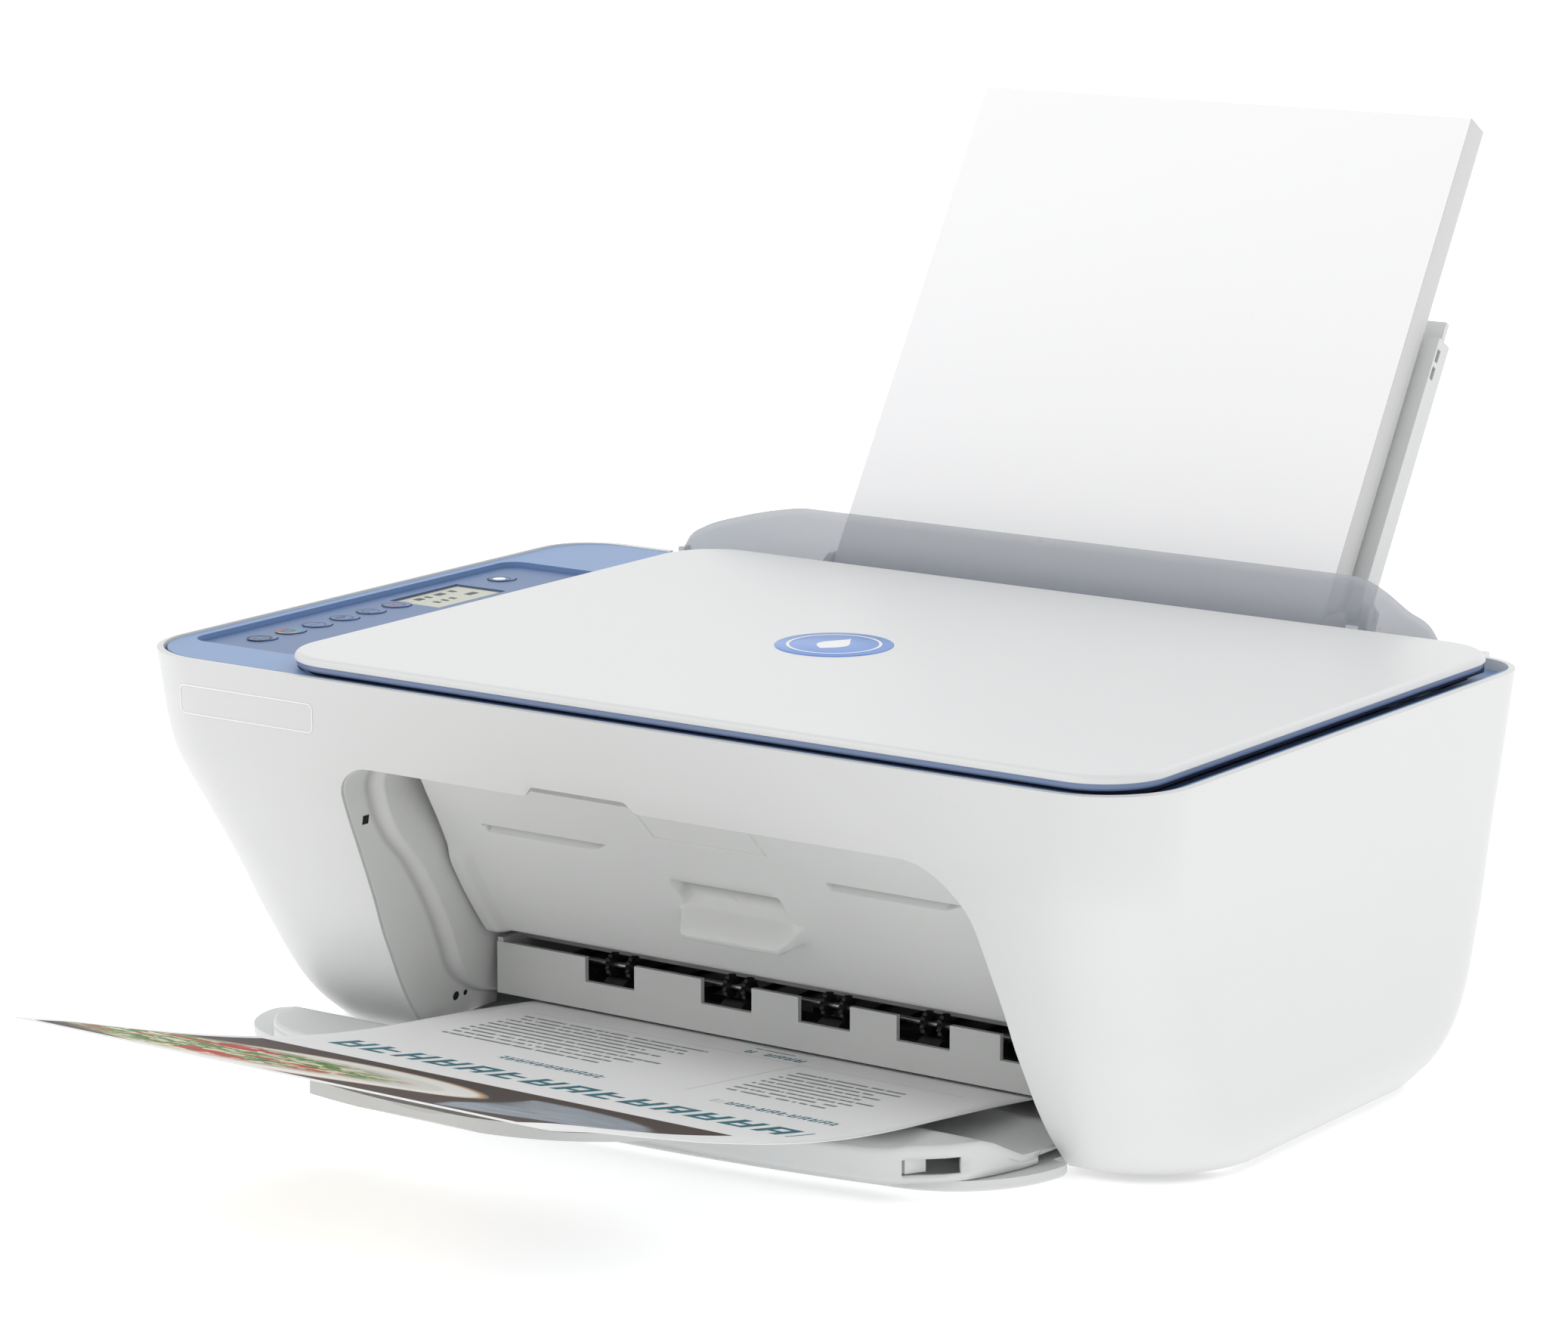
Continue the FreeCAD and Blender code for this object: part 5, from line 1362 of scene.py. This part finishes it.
@dataclass
class CaseMarks:
    """Painted highlight: a fine light outline round the blank name plate on the front of the case."""

    left: float = -184.0
    right: float = -123.0
    low: float = 128.5
    high: float = 138.6

    def build(self, shell: Shell) -> None:
        """Rounded loop laid on the case's front curve; near the left corner it follows the corner's arc."""
        corners = rounded_outline(self.left, self.right, self.low, self.high, [2.0] * 4, 6)
        run = np.linalg.norm(np.roll(corners, -1, 0) - corners, axis=1)
        along = np.concatenate([[0.0], np.cumsum(run)])
        spots = np.linspace(0.0, along[-1], 180, endpoint=False)
        closed = np.vstack([corners, corners[:1]])
        loop = np.column_stack([np.interp(spots, along, closed[:, i]) for i in (0, 1)])
        flat, faces = ribbon(loop, 0.44, 0.0, True)
        x, z = flat[:, :2].T
        half, front, near = (smooth_curve(rows)(z) for rows in (shell.half, shell.front, shell.near_round))
        reach = np.clip(near - half - x, 0.0, near)
        y = front + near - np.sqrt(near ** 2 - reach ** 2) - 0.12
        # The light line is a painted highlight where the plate's recessed outline catches the light.
        new_piece("name_plate_line", np.column_stack([x, y, z]), faces, Finish.EDGE, "case")


# ------------------------------------------------------------------------------------ set
class Studio:
    """Pale floor, soft light and the camera."""

    camera_spot = (1.0201, -1.4916, 0.5175)
    azimuth = 35.15
    elevation = 11.77
    lens = 119.07
    sensor = 36.0
    sky = 0.8
    floor_glow = 0.54
    lamps = (
        ("key", (-1.4, -1.4, 2.4), (0.0, 0.0, 0.1), (1.6, 1.6), 16.0),
        ("fill", (2.4, -0.6, 1.4), (0.1, 0.0, 0.1), (0.5, 2.0), 1.5),
        ("rear", (0.4, 2.2, 2.0), (0.0, 0.1, 0.2), (2.0, 1.0), 6.0),
    )

    def floor(self) -> None:
        """A wide pale sheet under the printer, curving up far behind."""
        s = np.linspace(-4.0, 9.0, 60)
        x = np.linspace(-9.0, 9.0, 12)
        lift = np.maximum(s - 4.0, 0.0) ** 2 * 0.35
        points = np.stack(np.broadcast_arrays(x[None, :], s[:, None], lift[:, None] - 0.0002), -1)
        mesh = bpy.data.meshes.new("floor")
        mesh.from_pydata(points.reshape(-1, 3).tolist(), [], quads(len(s), len(x)).tolist())
        floor = bpy.data.objects.new("floor", mesh)
        bpy.context.collection.objects.link(floor)
        graph = Graph("floor_paper")
        cloud = graph.noise(200.0, 2.0)
        graph.surface(Base_Color=graph.mix((0.80, 0.80, 0.80), (0.82, 0.82, 0.82), cloud), Roughness=0.8,
                      Emission_Color=(1.0, 1.0, 1.0, 1.0), Emission_Strength=self.floor_glow)
        mesh.materials.append(graph.material)

    def lamp(self, name: str, at: tuple, aim: tuple, size: tuple, power: float) -> None:
        """Soft rectangular lamp at a place, turned to a target."""
        data = bpy.data.lights.new(name, "AREA")
        data.shape = "RECTANGLE"
        data.size, data.size_y = size
        data.energy = power
        lamp = bpy.data.objects.new(name, data)
        lamp.location = at
        lamp.rotation_mode = "QUATERNION"
        lamp.rotation_quaternion = (Vector(aim) - Vector(at)).to_track_quat("-Z", "Y")
        bpy.context.collection.objects.link(lamp)

    def build(self) -> None:
        """Set floor, lamps, sky and camera."""
        self.floor()
        for lamp in self.lamps:
            self.lamp(*lamp)
        world = bpy.data.worlds.new("studio")
        world.use_nodes = True
        sky = world.node_tree.nodes["Background"]
        sky.inputs[0].default_value = (1.0, 1.0, 1.0, 1.0)
        sky.inputs[1].default_value = self.sky
        bpy.context.scene.world = world
        bpy.context.scene.view_settings.view_transform = "Standard"
        data = bpy.data.cameras.new("camera")
        data.lens = self.lens
        data.sensor_width = self.sensor
        data.clip_start, data.clip_end = 0.05, 50.0
        camera = bpy.data.objects.new("camera", data)
        camera.location = Vector(self.camera_spot) + Vector((0.0, SHIFT_Y, 0.0))
        a, e = math.radians(self.azimuth), math.radians(self.elevation)
        away = Vector((math.sin(a) * math.cos(e), -math.cos(a) * math.cos(e), math.sin(e)))
        camera.rotation_mode = "QUATERNION"
        camera.rotation_quaternion = (-away).to_track_quat("-Z", "Y")
        bpy.context.collection.objects.link(camera)
        bpy.context.scene.camera = camera


def dress_nodes() -> None:
    """Give every CAD node its finish."""
    for name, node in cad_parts.items():
        finish = NODE_FINISH.get(name, Finish.PANEL)
        node.data.materials.clear()
        node.data.materials.append(finish.material())


def main() -> None:
    """Dress the CAD, add the pieces and set the studio."""
    logging.basicConfig(level=logging.INFO)
    dress_nodes()
    shell = Shell()
    for part in (shell, Door(), Tray(), Lid(), Sheet(), PaperStack(), Shield(), Keys()):
        part.build()
    Cheek().build(shell)
    CaseMarks().build(shell)
    Studio().build()


if __name__ == "__main__":
    main()
